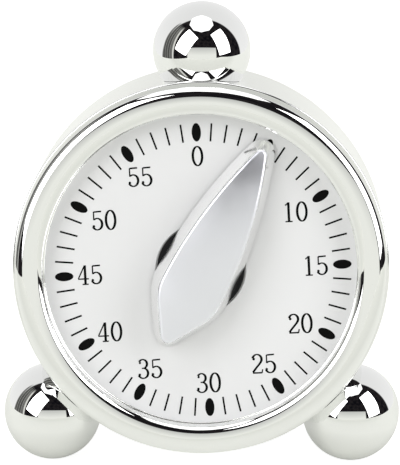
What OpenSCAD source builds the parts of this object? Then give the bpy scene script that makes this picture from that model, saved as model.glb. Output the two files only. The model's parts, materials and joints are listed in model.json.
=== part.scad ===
// Desk-top mechanical sixty-minute timer for a laboratory bench.
// A round drum case rests on two ball feet and on its own lower rear edge, so the dial leans back.
// Every piece is drawn in the case frame and then stood up by stand():
// x to the right of the dial, y up the dial, z out of the dial, with z = 0 on the dial's front face.

/* [Case drum] */
// Outer radius of the drum
drum_r = 38.3; // [37.6:0.1:46]
// Depth of the drum behind the dial's front face
drum_depth = 33; // [33:0.5:42]
// Wall of the drum
drum_wall = 1.4; // [1:0.1:2]
// Radius of the drum's rounded rear edge
drum_edge_r = 1.5; // [1:0.1:2.5]
// Radius of the drum's rounded front edge
drum_front_edge_r = 0.4; // [0.2:0.1:0.6]
// Width of the lip that is turned in at the drum's rear
drum_lip = 5.4; // [5:0.1:7]
// Thickness of that lip
drum_lip_t = 1.2; // [1:0.1:2]

/* [Bezel and dial] */
// Radial step from the drum's front edge in to the bezel
bezel_step = 0.8; // [0.5:0.1:1.1]
// Height of the bezel over the dial
bezel_h = 4.6; // [4:0.1:5.5]
// Width of the bezel's ring over the dial
bezel_w = 5.5; // [5.2:0.1:5.8]
// How far the bezel's crest lies in from its outer edge
bezel_crest_in = 2.9; // [2.7:0.1:3.1]
// Radius of the soft crown along the bezel's crest
bezel_crown_r = 7; // [6:0.5:9]
// Radius of the bezel's rounded outer shoulder
bezel_shoulder_r = 3; // [2.6:0.1:3.4]
// Radius of the rounding on the bezel's inner lip
bezel_lip_r = 2.2; // [1.9:0.1:2.4]
// Thickness of the dial plate
dial_t = 0.8; // [0.5:0.1:1.2]
// Radius of the hole in the middle of the dial
dial_hole_r = 9.1; // [8:0.1:10]

/* [Balls] */
// Radius of the three chrome balls
ball_r = 10; // [8.5:0.1:12]
// How far each ball's centre lies outside the drum
ball_standoff = 5.5; // [4:0.1:7]
// Depth of the balls' centres behind the dial's front face
ball_depth = 8.5; // [8:0.1:10]
// Angle of each foot below the horizontal
foot_angle = 45.3; // [40:0.1:55]

/* [Pointer knob] */
// Reach of the pointer's tip from the pivot
knob_tip_reach = 28.2; // [24:0.1:30]
// Reach of the pointer's tail from the pivot
knob_tail_reach = 15.8; // [15:0.1:18]
// Half width of the knob's top edge at its widest
knob_half_w = 6.65; // [6.4:0.05:7.5]
// Distance of the widest place behind the pivot
knob_widest_back = 4; // [2:0.1:5]
// Radius of the long arcs from the widest place to the tip
knob_front_arc_r = 95; // [80:1:120]
// Radius of the short arcs from the widest place towards the tail
knob_tail_arc_r = 9.5; // [8.5:0.1:11]
// Radius of the pointer's rounded tip
knob_tip_r = 1.4; // [1:0.1:1.8]
// Radius of the rounded tail
knob_tail_r = 1.8; // [1.4:0.1:2.4]
// Height of the knob's top edge over the dial
knob_edge_h = 7; // [6:0.1:9]
// Height that the knob's crown adds to its edge
knob_crown = 1; // [0.5:0.1:1.5]
// Gap between the dial and the knob's underside
knob_lift = 0.6; // [0.4:0.1:1]
// How much wider the knob is at its base than at its top edge
knob_flare = 1.4; // [0.8:0.1:1.8]
// Wall of the knob's metal cap
knob_wall = 1.5; // [1.2:0.1:2]
// Minutes that the pointer shows at rest
pointer_minutes = 5; // [1:1:50]
// How far the printed dial is turned in the case, anticlockwise
dial_turn = 2.8; // [0:0.1:4]

/* [Movement] */
// Radius of the two movement plates
plate_r = 27.5; // [27.4:0.1:29]
// Thickness of the movement plates and of the carrier plate
plate_t = 1.2; // [1:0.1:1.3]
// Space between the two movement plates
plate_gap = 12; // [12:0.1:13]
// Distance from the carrier plate to the front movement plate
carrier_plate_t = 1.6; // [1.4:0.1:1.8]
// Radius of the main arbor
main_arbor_r = 2.5; // [2.3:0.1:2.7]
// Radius of the other arbors
arbor_r = 1; // [0.8:0.05:1.1]
// Radius of the arbors' pivots
pivot_r = 0.5; // [0.4:0.05:0.6]
// Radius of the mainspring's outer turn
mainspring_r = 10.4; // [9.5:0.1:10.6]
// Turns of the mainspring
mainspring_turns = 5; // [4:1:7]
// Thickness of the mainspring's strip
mainspring_t = 0.35; // [0.25:0.05:0.4]

/* [Bell] */
// Outer radius of the bell
bell_r = 25; // [23.5:0.1:26]
// Height of the bell
bell_h = 8; // [7.5:0.1:8.4]
// Height of the bell's straight skirt
bell_skirt_h = 3; // [2.5:0.1:3.5]
// Wall of the bell
bell_wall = 1; // [0.8:0.1:1.2]

/* [Clearances] */
// Gap of pieces that slide into each other and stay
seat_gap = 0.05; // [0.03:0.01:0.1]
// Radial gap of a shaft that turns in its bearing
running_gap = 0.04; // [0.02:0.01:0.08]
// Radial gap drawn for a screw thread
thread_gap = 0.02; // [0.01:0.01:0.05]
// Gap between parts that pass each other
passing_gap = 0.2; // [0.15:0.05:0.25]

/* [Hidden] */
$fn = 96;

// Case, from the drum inwards
drum_bore_r = drum_r - drum_wall;
lip_inner_r = drum_bore_r - drum_lip;
bezel_r = drum_r - bezel_step;
bezel_crest_r = bezel_r - bezel_crest_in;
bezel_shoulder_turn = 10;
bezel_lip_turn = 11;
dial_visible_r = bezel_r - bezel_w;
spigot_r = drum_bore_r - seat_gap;
spigot_wall = 0.85;
dial_edge_gap = 0.1;
dial_plate_r = spigot_r - spigot_wall - dial_edge_gap;
carrier_r = drum_bore_r - 2 * seat_gap;

// Stack of levels behind the dial, each value a place along z
carrier_front = -dial_t;
carrier_back = carrier_front - 2 * dial_t;
seat_back = carrier_back - plate_t;
front_plate_front = carrier_back - carrier_plate_t;
front_plate_back = front_plate_front - plate_t;
rear_plate_front = front_plate_back - plate_gap;
rear_plate_back = rear_plate_front - plate_t;
level_gap = 0.6;
end_shake = 0.1;
wheel_t = 0.8;
second_wheel_front = front_plate_back - level_gap;
cam_t = 1.5;
cam_back = second_wheel_front - cam_t;
dog_t = 0.7;
lever_front = second_wheel_front - dog_t - passing_gap;
spring_front = cam_back - passing_gap - end_shake;
main_wheel_t = 1.2;
main_wheel_back = rear_plate_front + wheel_t;
main_wheel_front = main_wheel_back + main_wheel_t;
spring_back = main_wheel_front + wheel_t;
third_wheel_drop = 2.4;
third_wheel_front = second_wheel_front - third_wheel_drop;
escape_wheel_drop = 4;
escape_wheel_front = third_wheel_front - escape_wheel_drop;
escape_t = 0.4;
pallet_front = escape_wheel_front - escape_t - end_shake;
pallet_t = 0.6;
balance_drop = 0.7;
balance_front = pallet_front - pallet_t - balance_drop;
hair_drop = 3.8;
hair_front = front_plate_back - hair_drop;
hair_h = 1;

// Gear train: teeth, tooth size and the distances that follow
pressure_angle = 25;
addendum = 0.8;
dedendum = 1.05;
tooth_thinning = 0.05;
main_teeth = 60;
second_teeth = 48;
third_teeth = 40;
pinion_teeth = 12;
escape_pinion_teeth = 10;
main_module = 0.5;
train_module = 0.4;
function centre_distance(teeth_a, teeth_b, size) = (teeth_a + teeth_b) * size / 2;
second_reach = centre_distance(main_teeth, pinion_teeth, main_module);
third_step = centre_distance(second_teeth, pinion_teeth, train_module);
escape_step = centre_distance(third_teeth, escape_pinion_teeth, train_module);
pallet_step = 7.6;
third_reach = 20.5;
escape_reach = 20;
lever_reach = 18;
lever_angle = 150;
hammer_reach = 19;
hammer_angle = 195;

// Angle at the middle between two reaches whose ends lie a step apart
function angle_between(reach_a, reach_b, step) =
    acos((reach_a * reach_a + reach_b * reach_b - step * step) / (2 * reach_a * reach_b));
function polar(reach, angle) = [reach * cos(angle), reach * sin(angle)];
function arc(middle, r, from, to, steps = 12) =
    [for (step = [0 : steps]) middle + polar(r, from + (to - from) * step / steps)];
function direction(from, to) = atan2(to[1] - from[1], to[0] - from[0]);

second_angle = 20;
third_angle = second_angle - angle_between(second_reach, third_reach, third_step);
escape_angle = third_angle - angle_between(third_reach, escape_reach, escape_step);
pallet_angle = escape_angle - angle_between(escape_reach, escape_reach, pallet_step);
centre_at = [0, 0];
second_at = polar(second_reach, second_angle);
third_at = polar(third_reach, third_angle);
escape_at = polar(escape_reach, escape_angle);
pallet_at = polar(escape_reach, pallet_angle);
lever_at = polar(lever_reach, lever_angle);
hammer_at = polar(hammer_reach, hammer_angle);

// Phase of a driven pinion that puts a gap where the driving wheel has a tooth
function meshed_phase(from, to, wheel_teeth, pinion_count) =
    let (along = direction(from, to))
    along + 180 - 360 / pinion_count * (0.5 - along * wheel_teeth / 360);

// Places of the pillars, screws and studs on the plates
pillar_reach = 24;
pillar_angles = [62, 140, 205, 272];
pillar_r = 2;
boss_reach = 25.1;
boss_angles = [100, 225, 320];
boss_r = 2.2;
small_head_r = 1.6;
small_head_h = 0.9;
small_shank_r = 0.8;
small_screw_grip = 4;
main_journal_r = 2;
main_pivot_r = 1.2;
pivot_overrun = 0.2;
anchor_post_r = 0.9;
spring_end_gap = 0.1;
mainspring_bore_gap = 0.25;
anchor_reach = mainspring_r + anchor_post_r + spring_end_gap;
anchor_angle = 200;
hair_bore_gap = 0.2;
hair_inner_r = arbor_r + hair_bore_gap;
hair_outer_r = 3.2;
hair_t = 0.15;
stud_r = 0.4;
lever_stud_angle = 270;
hammer_stud_angle = 70;

// Stop and release parts on the main arbor
cam_r = 5.8;
dog_reach = 7.4;
dog_w = 0.7;
tab_w = 0.8;
tab_angle = 250;
stop_half_gap = 7.5;
minute_angle = 6;
pointer_angle = pointer_minutes * minute_angle - dial_turn;
dog_angle = tab_angle - stop_half_gap - pointer_minutes * minute_angle;
nose_angle = 115;
nose_r = 0.5;
nose_at = polar(cam_r + passing_gap + nose_r, nose_angle);
notch_angle = nose_angle - pointer_minutes * minute_angle;

// Escapement
escape_r = 4.5;
escape_root_r = 3.3;
escape_teeth = 15;
pallet_pin_r = 0.25;
pallet_pin_gap = 0.45;
pallet_pin_reach = escape_r + pallet_pin_r + pallet_pin_gap;
pallet_pin_spread = 40;
balance_r = 5;

// Bell and hammer, behind the rear plate
bell_gap = 2.6;
bell_front = rear_plate_back - bell_gap;
bell_back = bell_front - bell_h;
bell_post_r = 3;
bell_screw_r = 1.5;
bell_screw_grip = 5;
bell_screw_head_h = 1.2;
hammer_gap = 1.1;
hammer_front = rear_plate_back - hammer_gap;
hammer_t = 1;
hammer_head_r = 1.8;
hammer_head_h = 3.4;
hammer_at_rest_gap = 0.9;
head_angle = 175;
head_at = polar(bell_r - bell_wall - hammer_at_rest_gap - hammer_head_r, head_angle);

// Back cover
cover_margin = 1.9;
cover_r = drum_bore_r - cover_margin;
cover_t = 1.2;
cover_front = -drum_depth;
cover_back = cover_front - cover_t;
cover_spigot_r = lip_inner_r - seat_gap;
cover_screw_reach = (lip_inner_r + cover_r) / 2;
cover_screw_angles = [90, 210, 330];
slot_count = 12;
slot_w = 2;
slot_inner = 12;
slot_outer = 23;

// Carrier screws stand in the drum's inner seat ring
seat_w = 3.3;
seat_inner_r = drum_bore_r - seat_w;
carrier_screw_reach = (seat_inner_r + drum_bore_r) / 2;
carrier_screw_angles = [30, 150, 270];
countersunk_head_r = 1.3;
countersunk_head_h = 0.7;
driver_slot_w = 0.5;
driver_slot_depth = 0.4;
carrier_screw_grip = 0.8;

// Balls and their screws
ball_reach = drum_r + ball_standoff;
ball_angles = [90, 180 + foot_angle, -foot_angle];
ball_shank_r = 1.5;
ball_screw_head_r = 2.6;
ball_screw_head_h = 1.8;
ball_washer_r = 3.2;
ball_washer_t = 1.6;
ball_hole_r = 1.7;
ball_screw_grip = 5;
bore_runout = 0.3;

// Lean of the case: the feet and the drum's rounded rear edge touch the same table
foot_drop = ball_reach * sin(foot_angle);
edge_drop = drum_r - drum_edge_r;
edge_depth = drum_depth - drum_edge_r;
contact_span = norm([edge_drop - foot_drop, edge_depth - ball_depth]);
lean = atan2(edge_depth - ball_depth, edge_drop - foot_drop) - acos((ball_r - drum_edge_r) / contact_span);
stand_height = foot_drop * cos(lean) + ball_depth * sin(lean) + ball_r;

// Front and rear reach of the stood-up timer, which set its middle
crown_step_h = knob_edge_h + 0.6 * knob_crown;
crown_step_scale = 0.7;
knob_tail_drop = crown_step_scale * knob_tail_reach * cos(pointer_angle);
front_reach = max(
    crown_step_h * cos(lean) + knob_tail_drop * sin(lean),
    (bezel_h - bezel_crown_r) * cos(lean) + bezel_crest_r * sin(lean) + bezel_crown_r);
rear_reach = (drum_depth + cover_t) * cos(lean) + cover_r * sin(lean);
stand_shift = (front_reach - rear_reach) / 2;

module stand() {
    translate([0, stand_shift, stand_height]) rotate([90 - lean, 0, 0]) children();
}

// ---------- shared shapes ----------

// Disc whose front face is at the given level
module disc(r, front, thickness) {
    translate([0, 0, front - thickness]) cylinder(r = r, h = thickness);
}

module ring(r_out, r_in, front, thickness) {
    difference() {
        disc(r_out, front, thickness);
        disc(r_in, front + 1, thickness + 2);
    }
}

module at(place) {
    translate([place[0], place[1], 0]) children();
}

module around(reach, angles) {
    for (angle = angles) at(polar(reach, angle)) children();
}

// Screw with a slotted flat head. The head lies in front of the seat level and the shank goes back.
module slotted_screw(seat, length, head_r, head_h, shank_r) {
    difference() {
        disc(head_r, seat + head_h, head_h);
        translate([0, 0, seat + head_h]) cube([3 * head_r, head_r / 4, head_h], center = true);
    }
    disc(shank_r, seat, length);
}

// The same screw put in from behind
module rear_slotted_screw(seat, length, head_r, head_h, shank_r) {
    mirror([0, 0, 1]) slotted_screw(-seat, length, head_r, head_h, shank_r);
}

// Cone of a countersunk head, wide end on the face level
module countersink(face, gap) {
    slope = countersunk_head_r - small_shank_r;
    translate([0, 0, face - countersunk_head_h])
        cylinder(r1 = small_shank_r + gap, r2 = small_shank_r + slope + gap, h = countersunk_head_h);
}

module countersunk_screw(face, length) {
    difference() {
        countersink(face, 0);
        translate([0, 0, face])
            cube([3 * countersunk_head_r, driver_slot_w, 2 * driver_slot_depth], center = true);
    }
    disc(small_shank_r, face - countersunk_head_h, length - countersunk_head_h);
}

module countersunk_hole(face, length) {
    countersink(face, thread_gap);
    disc(small_shank_r + thread_gap, face, length);
}

// Arbor between the plates with a pivot in each
module arbor(body_r, rear_overrun = 0) {
    disc(body_r, front_plate_back - end_shake, plate_gap - 2 * end_shake);
    disc(pivot_r, front_plate_front + pivot_overrun,
        plate_gap + 2 * plate_t + 2 * pivot_overrun + rear_overrun);
}

// Involute gear outline with a tooth centred at the phase angle
function involute_angle(a) = tan(a) * 180 / PI - a;
function tooth_half_angle(teeth, size, r) =
    90 / teeth - tooth_thinning / (teeth * size) * 180 / PI + involute_angle(pressure_angle)
    - involute_angle(acos(min(1, teeth * size / 2 * cos(pressure_angle) / r)));
function gear_point(teeth, size, middle, flank, step) =
    let (base_r = teeth * size / 2 * cos(pressure_angle),
        root_r = teeth * size / 2 - dedendum * size,
        tip_r = teeth * size / 2 + addendum * size,
        low_r = max(base_r, root_r),
        r = step == 0 ? root_r : low_r + (tip_r - low_r) * step / 3,
        half = tooth_half_angle(teeth, size, max(r, low_r)))
    polar(r, middle + flank * half);
function gear_outline(teeth, size, phase) = [
    for (tooth = [0 : teeth - 1], flank = [-1, 1], step = [0 : 3])
        gear_point(teeth, size, phase + tooth * 360 / teeth, flank, flank < 0 ? step : 3 - step)];

module gear(teeth, size, phase, front, thickness, bore_r) {
    difference() {
        translate([0, 0, front - thickness])
            linear_extrude(height = thickness) polygon(gear_outline(teeth, size, phase));
        disc(bore_r, front + 1, thickness + 2);
    }
}

// Wheel with four round crossings
module crossed_wheel(teeth, size, phase, front, thickness, bore_r) {
    rim_w = 2.5 * size;
    spoke_w = 1.4;
    hub_wall = 1;
    rim_r = teeth * size / 2 - rim_w;
    hole_r = (rim_r - bore_r - spoke_w) / 2;
    difference() {
        gear(teeth, size, phase, front, thickness, bore_r);
        around(bore_r + hub_wall + hole_r, [45, 135, 225, 315]) disc(hole_r, front + 1, thickness + 2);
    }
}

// Flat spiral of spring strip that ends at the given angle
function spiral_side(r_in, r_out, turns, end_angle, offset_r) = [
    for (step = [0 : turns * 36])
        polar(r_in + (r_out - r_in) * step / (turns * 36) + offset_r, end_angle - turns * 360 + step * 10)];
function reversed(list) = [for (i = [len(list) - 1 : -1 : 0]) list[i]];

module spiral_spring(r_in, r_out, turns, strip_t, end_angle, front, height) {
    inner = spiral_side(r_in, r_out - strip_t, turns, end_angle, 0);
    outer = spiral_side(r_in, r_out - strip_t, turns, end_angle, strip_t);
    translate([0, 0, front - height])
        linear_extrude(height = height) polygon(concat(inner, reversed(outer)));
}

// Straight bar between two places
module bar(from, to, width, front, thickness) {
    at(from) rotate([0, 0, direction(from, to)]) translate([0, -width / 2, front - thickness])
        cube([norm(to - from), width, thickness]);
}

// ---------- case ----------

module drum_section() {
    difference() {
        union() {
            translate([drum_bore_r, -drum_depth]) square([drum_wall, drum_depth]);
            translate([lip_inner_r, -drum_depth]) square([drum_r - lip_inner_r, drum_lip_t]);
            translate([seat_inner_r, seat_back]) square([drum_r - seat_inner_r, plate_t]);
        }
        difference() {
            translate([drum_r - drum_edge_r, -drum_depth - 1]) square(drum_edge_r + 1);
            translate([drum_r - drum_edge_r, drum_edge_r - drum_depth]) circle(drum_edge_r);
            translate([drum_r - drum_edge_r - 1, drum_edge_r - drum_depth]) square(drum_r);
        }
        difference() {
            translate([drum_r - drum_front_edge_r, -drum_front_edge_r]) square(1);
            translate([drum_r - drum_front_edge_r, -drum_front_edge_r]) circle(drum_front_edge_r);
        }
    }
}

module drum_shell() {
    color("silver") stand() difference() {
        rotate_extrude() drum_section();
        for (angle = ball_angles) along_ball(angle) cylinder(r = ball_hole_r, h = drum_r + 1);
        around(carrier_screw_reach, carrier_screw_angles)
            disc(small_shank_r + thread_gap, carrier_back + 1, plate_t + 2);
        around(cover_screw_reach, cover_screw_angles)
            disc(small_shank_r + thread_gap, 1 + drum_lip_t - drum_depth, drum_lip_t + 2);
    }
}

// Bezel's section: three curves that run into each other, from the dial over the crest to the outer edge
module bezel_section() {
    crown_middle = [bezel_crest_r, bezel_h - bezel_crown_r];
    lip_middle = crown_middle + polar(bezel_crown_r - bezel_lip_r, 90 + bezel_lip_turn);
    shoulder_middle = crown_middle + polar(bezel_crown_r - bezel_shoulder_r, 90 - bezel_shoulder_turn);
    lip_start = 180 - acos(min(1, (lip_middle[0] - dial_visible_r) / bezel_lip_r));
    shoulder_end = acos(min(1, (bezel_r - shoulder_middle[0]) / bezel_shoulder_r));
    crown = arc(crown_middle, bezel_crown_r, 90 + bezel_lip_turn, 90 - bezel_shoulder_turn, 6);
    spigot_inner_r = spigot_r - spigot_wall;
    polygon(concat(
        [[dial_visible_r, 0]],
        arc(lip_middle, bezel_lip_r, lip_start, 90 + bezel_lip_turn),
        [for (i = [1 : len(crown) - 2]) crown[i]],
        arc(shoulder_middle, bezel_shoulder_r, 90 - bezel_shoulder_turn, shoulder_end),
        [[bezel_r, 0], [spigot_r, 0], [spigot_r, -dial_t], [spigot_inner_r, -dial_t], [spigot_inner_r, 0]]));
}

module bezel() {
    color("gainsboro") stand() rotate_extrude() bezel_section();
}

module dial_plate() {
    color("white") stand() ring(dial_plate_r, dial_hole_r, 0, dial_t);
}

module movement_carrier() {
    boss_skin = 0.4;
    screw_depth = carrier_front - front_plate_front - boss_skin;
    color("lightgray") stand() difference() {
        union() {
            disc(carrier_r, carrier_front, carrier_front - carrier_back);
            around(boss_reach, boss_angles) disc(boss_r, carrier_back, carrier_plate_t);
        }
        disc(main_arbor_r + level_gap, 0, -front_plate_front);
        around(carrier_screw_reach, carrier_screw_angles) countersunk_hole(carrier_front, plate_t + 1);
        around(boss_reach, boss_angles)
            disc(small_shank_r + thread_gap, front_plate_front + screw_depth, screw_depth + 1);
    }
}

module carrier_screws() {
    length = carrier_front - carrier_back + carrier_screw_grip;
    color("silver") stand()
        around(carrier_screw_reach, carrier_screw_angles) countersunk_screw(carrier_front, length);
}

module slot(inner, outer, width, front, thickness) {
    translate([inner, -width / 2, front - thickness]) cube([outer - inner, width, thickness]);
    for (reach = [inner, outer]) translate([reach, 0, 0]) disc(width / 2, front, thickness);
}

module back_cover() {
    color("silver") stand() difference() {
        union() {
            disc(cover_r, cover_front, cover_t);
            disc(cover_spigot_r, cover_front + drum_lip_t, drum_lip_t);
        }
        for (step = [0 : slot_count - 1]) rotate([0, 0, step * 360 / slot_count])
            slot(slot_inner, slot_outer, slot_w, cover_front + 2, cover_t + drum_lip_t + 3);
        mirror([0, 0, 1]) around(cover_screw_reach, cover_screw_angles)
            countersunk_hole(-cover_back, cover_t + 1);
    }
}

module back_cover_screws() {
    color("dimgray") stand() mirror([0, 0, 1])
        around(cover_screw_reach, cover_screw_angles) countersunk_screw(-cover_back, cover_t + drum_lip_t);
}

// ---------- balls ----------

// Puts local z along the radial line through a ball's centre
module along_ball(angle) {
    translate([0, 0, -ball_depth]) rotate([0, 0, angle]) rotate([0, 90, 0]) children();
}

module ball(angle) {
    color("silver") stand() difference() {
        along_ball(angle) translate([0, 0, ball_reach]) sphere(ball_r);
        disc(drum_r + seat_gap, 10, 2 * ball_depth + 2 * ball_r);
        along_ball(angle) cylinder(r = ball_shank_r + thread_gap, h = drum_r + ball_screw_grip + bore_runout);
    }
}

module top_ball() {
    ball(ball_angles[0]);
}

module left_ball() {
    ball(ball_angles[1]);
}

module right_ball() {
    ball(ball_angles[2]);
}

module ball_screws() {
    seat = drum_bore_r - ball_washer_t;
    length = ball_washer_t + drum_wall + ball_screw_grip;
    color("silver") stand() for (angle = ball_angles) along_ball(angle)
        rear_slotted_screw(seat, length, ball_screw_head_r, ball_screw_head_h, ball_shank_r);
}

module ball_washers() {
    color("silver") stand() intersection() {
        for (angle = ball_angles) along_ball(angle) translate([0, 0, drum_bore_r - ball_washer_t])
            difference() {
                cylinder(r = ball_washer_r, h = 2 * ball_washer_t);
                translate([0, 0, -1]) cylinder(r = ball_hole_r, h = 3 * ball_washer_t);
            }
        disc(drum_bore_r - seat_gap, 0, drum_depth);
    }
}

// ---------- pointer knob ----------

// Slopes at which the knob's long sides run into its tip and tail
knob_tip_slope = asin((knob_tip_reach - knob_tip_r + knob_widest_back) / knob_front_arc_r);
knob_tail_slope = 31;
knob_least_r = 0.2;

// Half of the knob's outline from tip to tail, grown outwards evenly
function knob_half(grow) = concat(
    [for (turn = [0 : 15 : 75])
        [knob_tip_reach - knob_tip_r, 0] + max(knob_tip_r + grow, knob_least_r) * [cos(turn), sin(turn)]],
    [for (step = [8 : -1 : 0]) let (turn = step / 9 * knob_tip_slope)
        [(knob_front_arc_r + grow) * sin(turn) - knob_widest_back,
            knob_half_w - knob_front_arc_r + (knob_front_arc_r + grow) * cos(turn)]],
    [for (turn = [knob_tail_slope / 3 : knob_tail_slope / 3 : knob_tail_slope + 1])
        [-(knob_tail_arc_r + grow) * sin(turn) - knob_widest_back,
            knob_half_w - knob_tail_arc_r + (knob_tail_arc_r + grow) * cos(turn)]],
    [for (turn = [90 + knob_tail_slope : 15 : 180])
        [knob_tail_r - knob_tail_reach, 0] + max(knob_tail_r + grow, knob_least_r) * [cos(turn), sin(turn)]]);
function mirrored(list) = [for (point = reversed(list)) [point[0], -point[1]]];

module knob_outline(grow) {
    half = knob_half(grow);
    polygon(concat(half, mirrored(half)));
}

// Thin slice of the knob whose top lies at a height over the dial
knob_slice_t = 0.05;
module knob_slice(height, grow, shrink = 1) {
    translate([0, 0, height - knob_slice_t]) linear_extrude(height = knob_slice_t)
        scale([shrink, shrink]) knob_outline(grow);
}

// Turns a shape whose tip lies along x so that it points at the rest reading
module to_pointer() {
    rotate([0, 0, 90 - pointer_angle]) children();
}

knob_edge_round = 0.8;
knob_base_round = 0.2;
knob_base_rise = 0.25;
knob_rim_grow = [0.35, 0.1, -0.4];
knob_crest_scale = 0.3;
knob_ceiling = knob_edge_h - knob_wall;
knob_cavity_grow = knob_flare - knob_base_round - knob_wall;
core_side_gap = 0.1;

module knob_body() {
    hull() {
        knob_slice(knob_lift + knob_slice_t, knob_flare - knob_base_round);
        knob_slice(knob_lift + knob_slice_t + knob_base_rise, knob_flare);
        knob_slice(knob_edge_h - knob_edge_round, knob_rim_grow[0]);
        knob_slice(knob_edge_h - knob_edge_round / 3, knob_rim_grow[1]);
        knob_slice(knob_edge_h, knob_rim_grow[2]);
        knob_slice(crown_step_h, 0, crown_step_scale);
        knob_slice(knob_edge_h + knob_crown, 0, knob_crest_scale);
    }
}

module knob_cap() {
    color("silver") stand() to_pointer() difference() {
        knob_body();
        linear_extrude(height = knob_ceiling) knob_outline(knob_cavity_grow);
    }
}

module knob_core() {
    flange_front = -0.1;
    flange_t = 0.5;
    core_neck_r = 6;
    arbor_seat = knob_ceiling - 0.5;
    color("black") stand() to_pointer() difference() {
        union() {
            disc(dial_hole_r - passing_gap, flange_front, flange_t);
            disc(core_neck_r, knob_lift, knob_lift - flange_front);
            translate([0, 0, knob_lift]) linear_extrude(height = knob_ceiling - knob_lift)
                knob_outline(knob_cavity_grow - core_side_gap);
        }
        difference() {
            disc(main_journal_r + thread_gap, arbor_seat, arbor_seat - flange_front + 2);
            d_cut(thread_gap);
        }
    }
}

// Block beyond the flat of the arbor's D-shaped front end
module d_cut(gap) {
    flat_reach = 0.7 * main_journal_r;
    translate([flat_reach + gap, -2 * main_journal_r, carrier_front])
        cube([2 * main_journal_r, 4 * main_journal_r, 3 * knob_ceiling]);
}

module main_arbor() {
    tip = knob_ceiling - level_gap;
    rear_step = 0.5;
    color("silver") stand() difference() {
        union() {
            disc(main_arbor_r, front_plate_back - end_shake, plate_gap - 2 * end_shake);
            disc(main_pivot_r, rear_plate_front + rear_step, plate_t + rear_step - end_shake);
            disc(main_journal_r, tip, tip - front_plate_back + 2 * end_shake);
        }
        to_pointer() d_cut(0);
    }
}

// ---------- movement plates ----------

train_places = [second_at, third_at, escape_at, pallet_at, lever_at, hammer_at];

module front_plate() {
    color("gold") stand() difference() {
        disc(plate_r, front_plate_front, plate_t);
        disc(main_journal_r + running_gap, 0, 10);
        for (place = train_places) at(place) disc(pivot_r + running_gap, 0, 10);
        around(pillar_reach, pillar_angles) disc(small_shank_r + thread_gap, 0, 10);
        around(boss_reach, boss_angles) disc(small_shank_r + thread_gap, 0, 10);
    }
}

module rear_plate() {
    color("gold") stand() difference() {
        disc(plate_r, rear_plate_front, plate_t);
        disc(main_pivot_r + running_gap, rear_plate_front + 1, plate_t + 2);
        for (place = train_places) at(place) disc(pivot_r + running_gap, rear_plate_front + 1, plate_t + 2);
        around(pillar_reach, pillar_angles)
            disc(small_shank_r + thread_gap, rear_plate_front + 1, plate_t + 2);
    }
}

module movement_pillars() {
    bore_depth = small_screw_grip + bore_runout;
    color("gold") stand() around(pillar_reach, pillar_angles) difference() {
        disc(pillar_r, front_plate_back, plate_gap);
        disc(small_shank_r + thread_gap, front_plate_back, bore_depth);
        disc(small_shank_r + thread_gap, rear_plate_front + bore_depth, bore_depth);
    }
}

module front_pillar_screws() {
    length = plate_t + small_screw_grip;
    color("silver") stand() around(pillar_reach, pillar_angles)
        slotted_screw(front_plate_front, length, small_head_r, small_head_h, small_shank_r);
}

module rear_pillar_screws() {
    length = plate_t + small_screw_grip;
    color("silver") stand() around(pillar_reach, pillar_angles)
        rear_slotted_screw(rear_plate_back, length, small_head_r, small_head_h, small_shank_r);
}

module movement_screws() {
    length = plate_t + carrier_front - front_plate_front - level_gap;
    color("silver") stand() around(boss_reach, boss_angles)
        rear_slotted_screw(front_plate_back, length, small_head_r, small_head_h, small_shank_r);
}

// ---------- main arbor parts ----------

module main_wheel() {
    color("gold") stand()
        crossed_wheel(main_teeth, main_module, 0, main_wheel_front, main_wheel_t, main_arbor_r);
}

module release_cam() {
    notch_w = 2 * nose_r + 2 * passing_gap;
    color("silver") stand() difference() {
        union() {
            disc(cam_r, second_wheel_front, cam_t);
            bar(centre_at, polar(dog_reach, dog_angle), dog_w, second_wheel_front, dog_t);
        }
        disc(main_arbor_r, 0, 10);
        bar(polar(cam_r - 1, notch_angle), polar(cam_r + 1, notch_angle), notch_w, 0, 10);
    }
}

module stop_tab() {
    near = cam_r + passing_gap;
    color("gold") stand()
        bar(polar(near, tab_angle), polar(dog_reach + passing_gap, tab_angle), tab_w,
            front_plate_back, level_gap + dog_t);
}

module mainspring() {
    color("steelblue") stand()
        spiral_spring(main_arbor_r + mainspring_bore_gap, mainspring_r, mainspring_turns, mainspring_t,
            anchor_angle, spring_front, spring_front - spring_back);
}

module mainspring_anchor() {
    color("gold") stand() at(polar(anchor_reach, anchor_angle))
        disc(anchor_post_r, front_plate_back, front_plate_back - spring_back + passing_gap);
}

// ---------- going train ----------

second_pinion_phase = meshed_phase(centre_at, second_at, main_teeth, pinion_teeth);
third_pinion_phase = meshed_phase(second_at, third_at, second_teeth, pinion_teeth);
escape_pinion_phase = meshed_phase(third_at, escape_at, third_teeth, escape_pinion_teeth);
pinion_extra = 0.2;

module pinion(teeth, size, phase, wheel_front, thickness) {
    gear(teeth, size, phase, wheel_front + pinion_extra, thickness + 2 * pinion_extra, arbor_r);
}

module second_arbor() {
    color("silver") stand() at(second_at) arbor(arbor_r);
}

module second_pinion() {
    color("silver") stand() at(second_at)
        pinion(pinion_teeth, main_module, second_pinion_phase, main_wheel_front, main_wheel_t);
}

module second_wheel() {
    color("gold") stand() at(second_at)
        crossed_wheel(second_teeth, train_module, 0, second_wheel_front, wheel_t, arbor_r);
}

module third_arbor() {
    color("silver") stand() at(third_at) arbor(arbor_r);
}

module third_pinion() {
    color("silver") stand() at(third_at)
        pinion(pinion_teeth, train_module, third_pinion_phase, second_wheel_front, wheel_t);
}

module third_wheel() {
    color("gold") stand() at(third_at)
        crossed_wheel(third_teeth, train_module, 0, third_wheel_front, wheel_t, arbor_r);
}

module escape_arbor() {
    color("silver") stand() at(escape_at) arbor(arbor_r);
}

module escape_pinion() {
    color("silver") stand() at(escape_at)
        pinion(escape_pinion_teeth, train_module, escape_pinion_phase, third_wheel_front, wheel_t);
}

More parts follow.
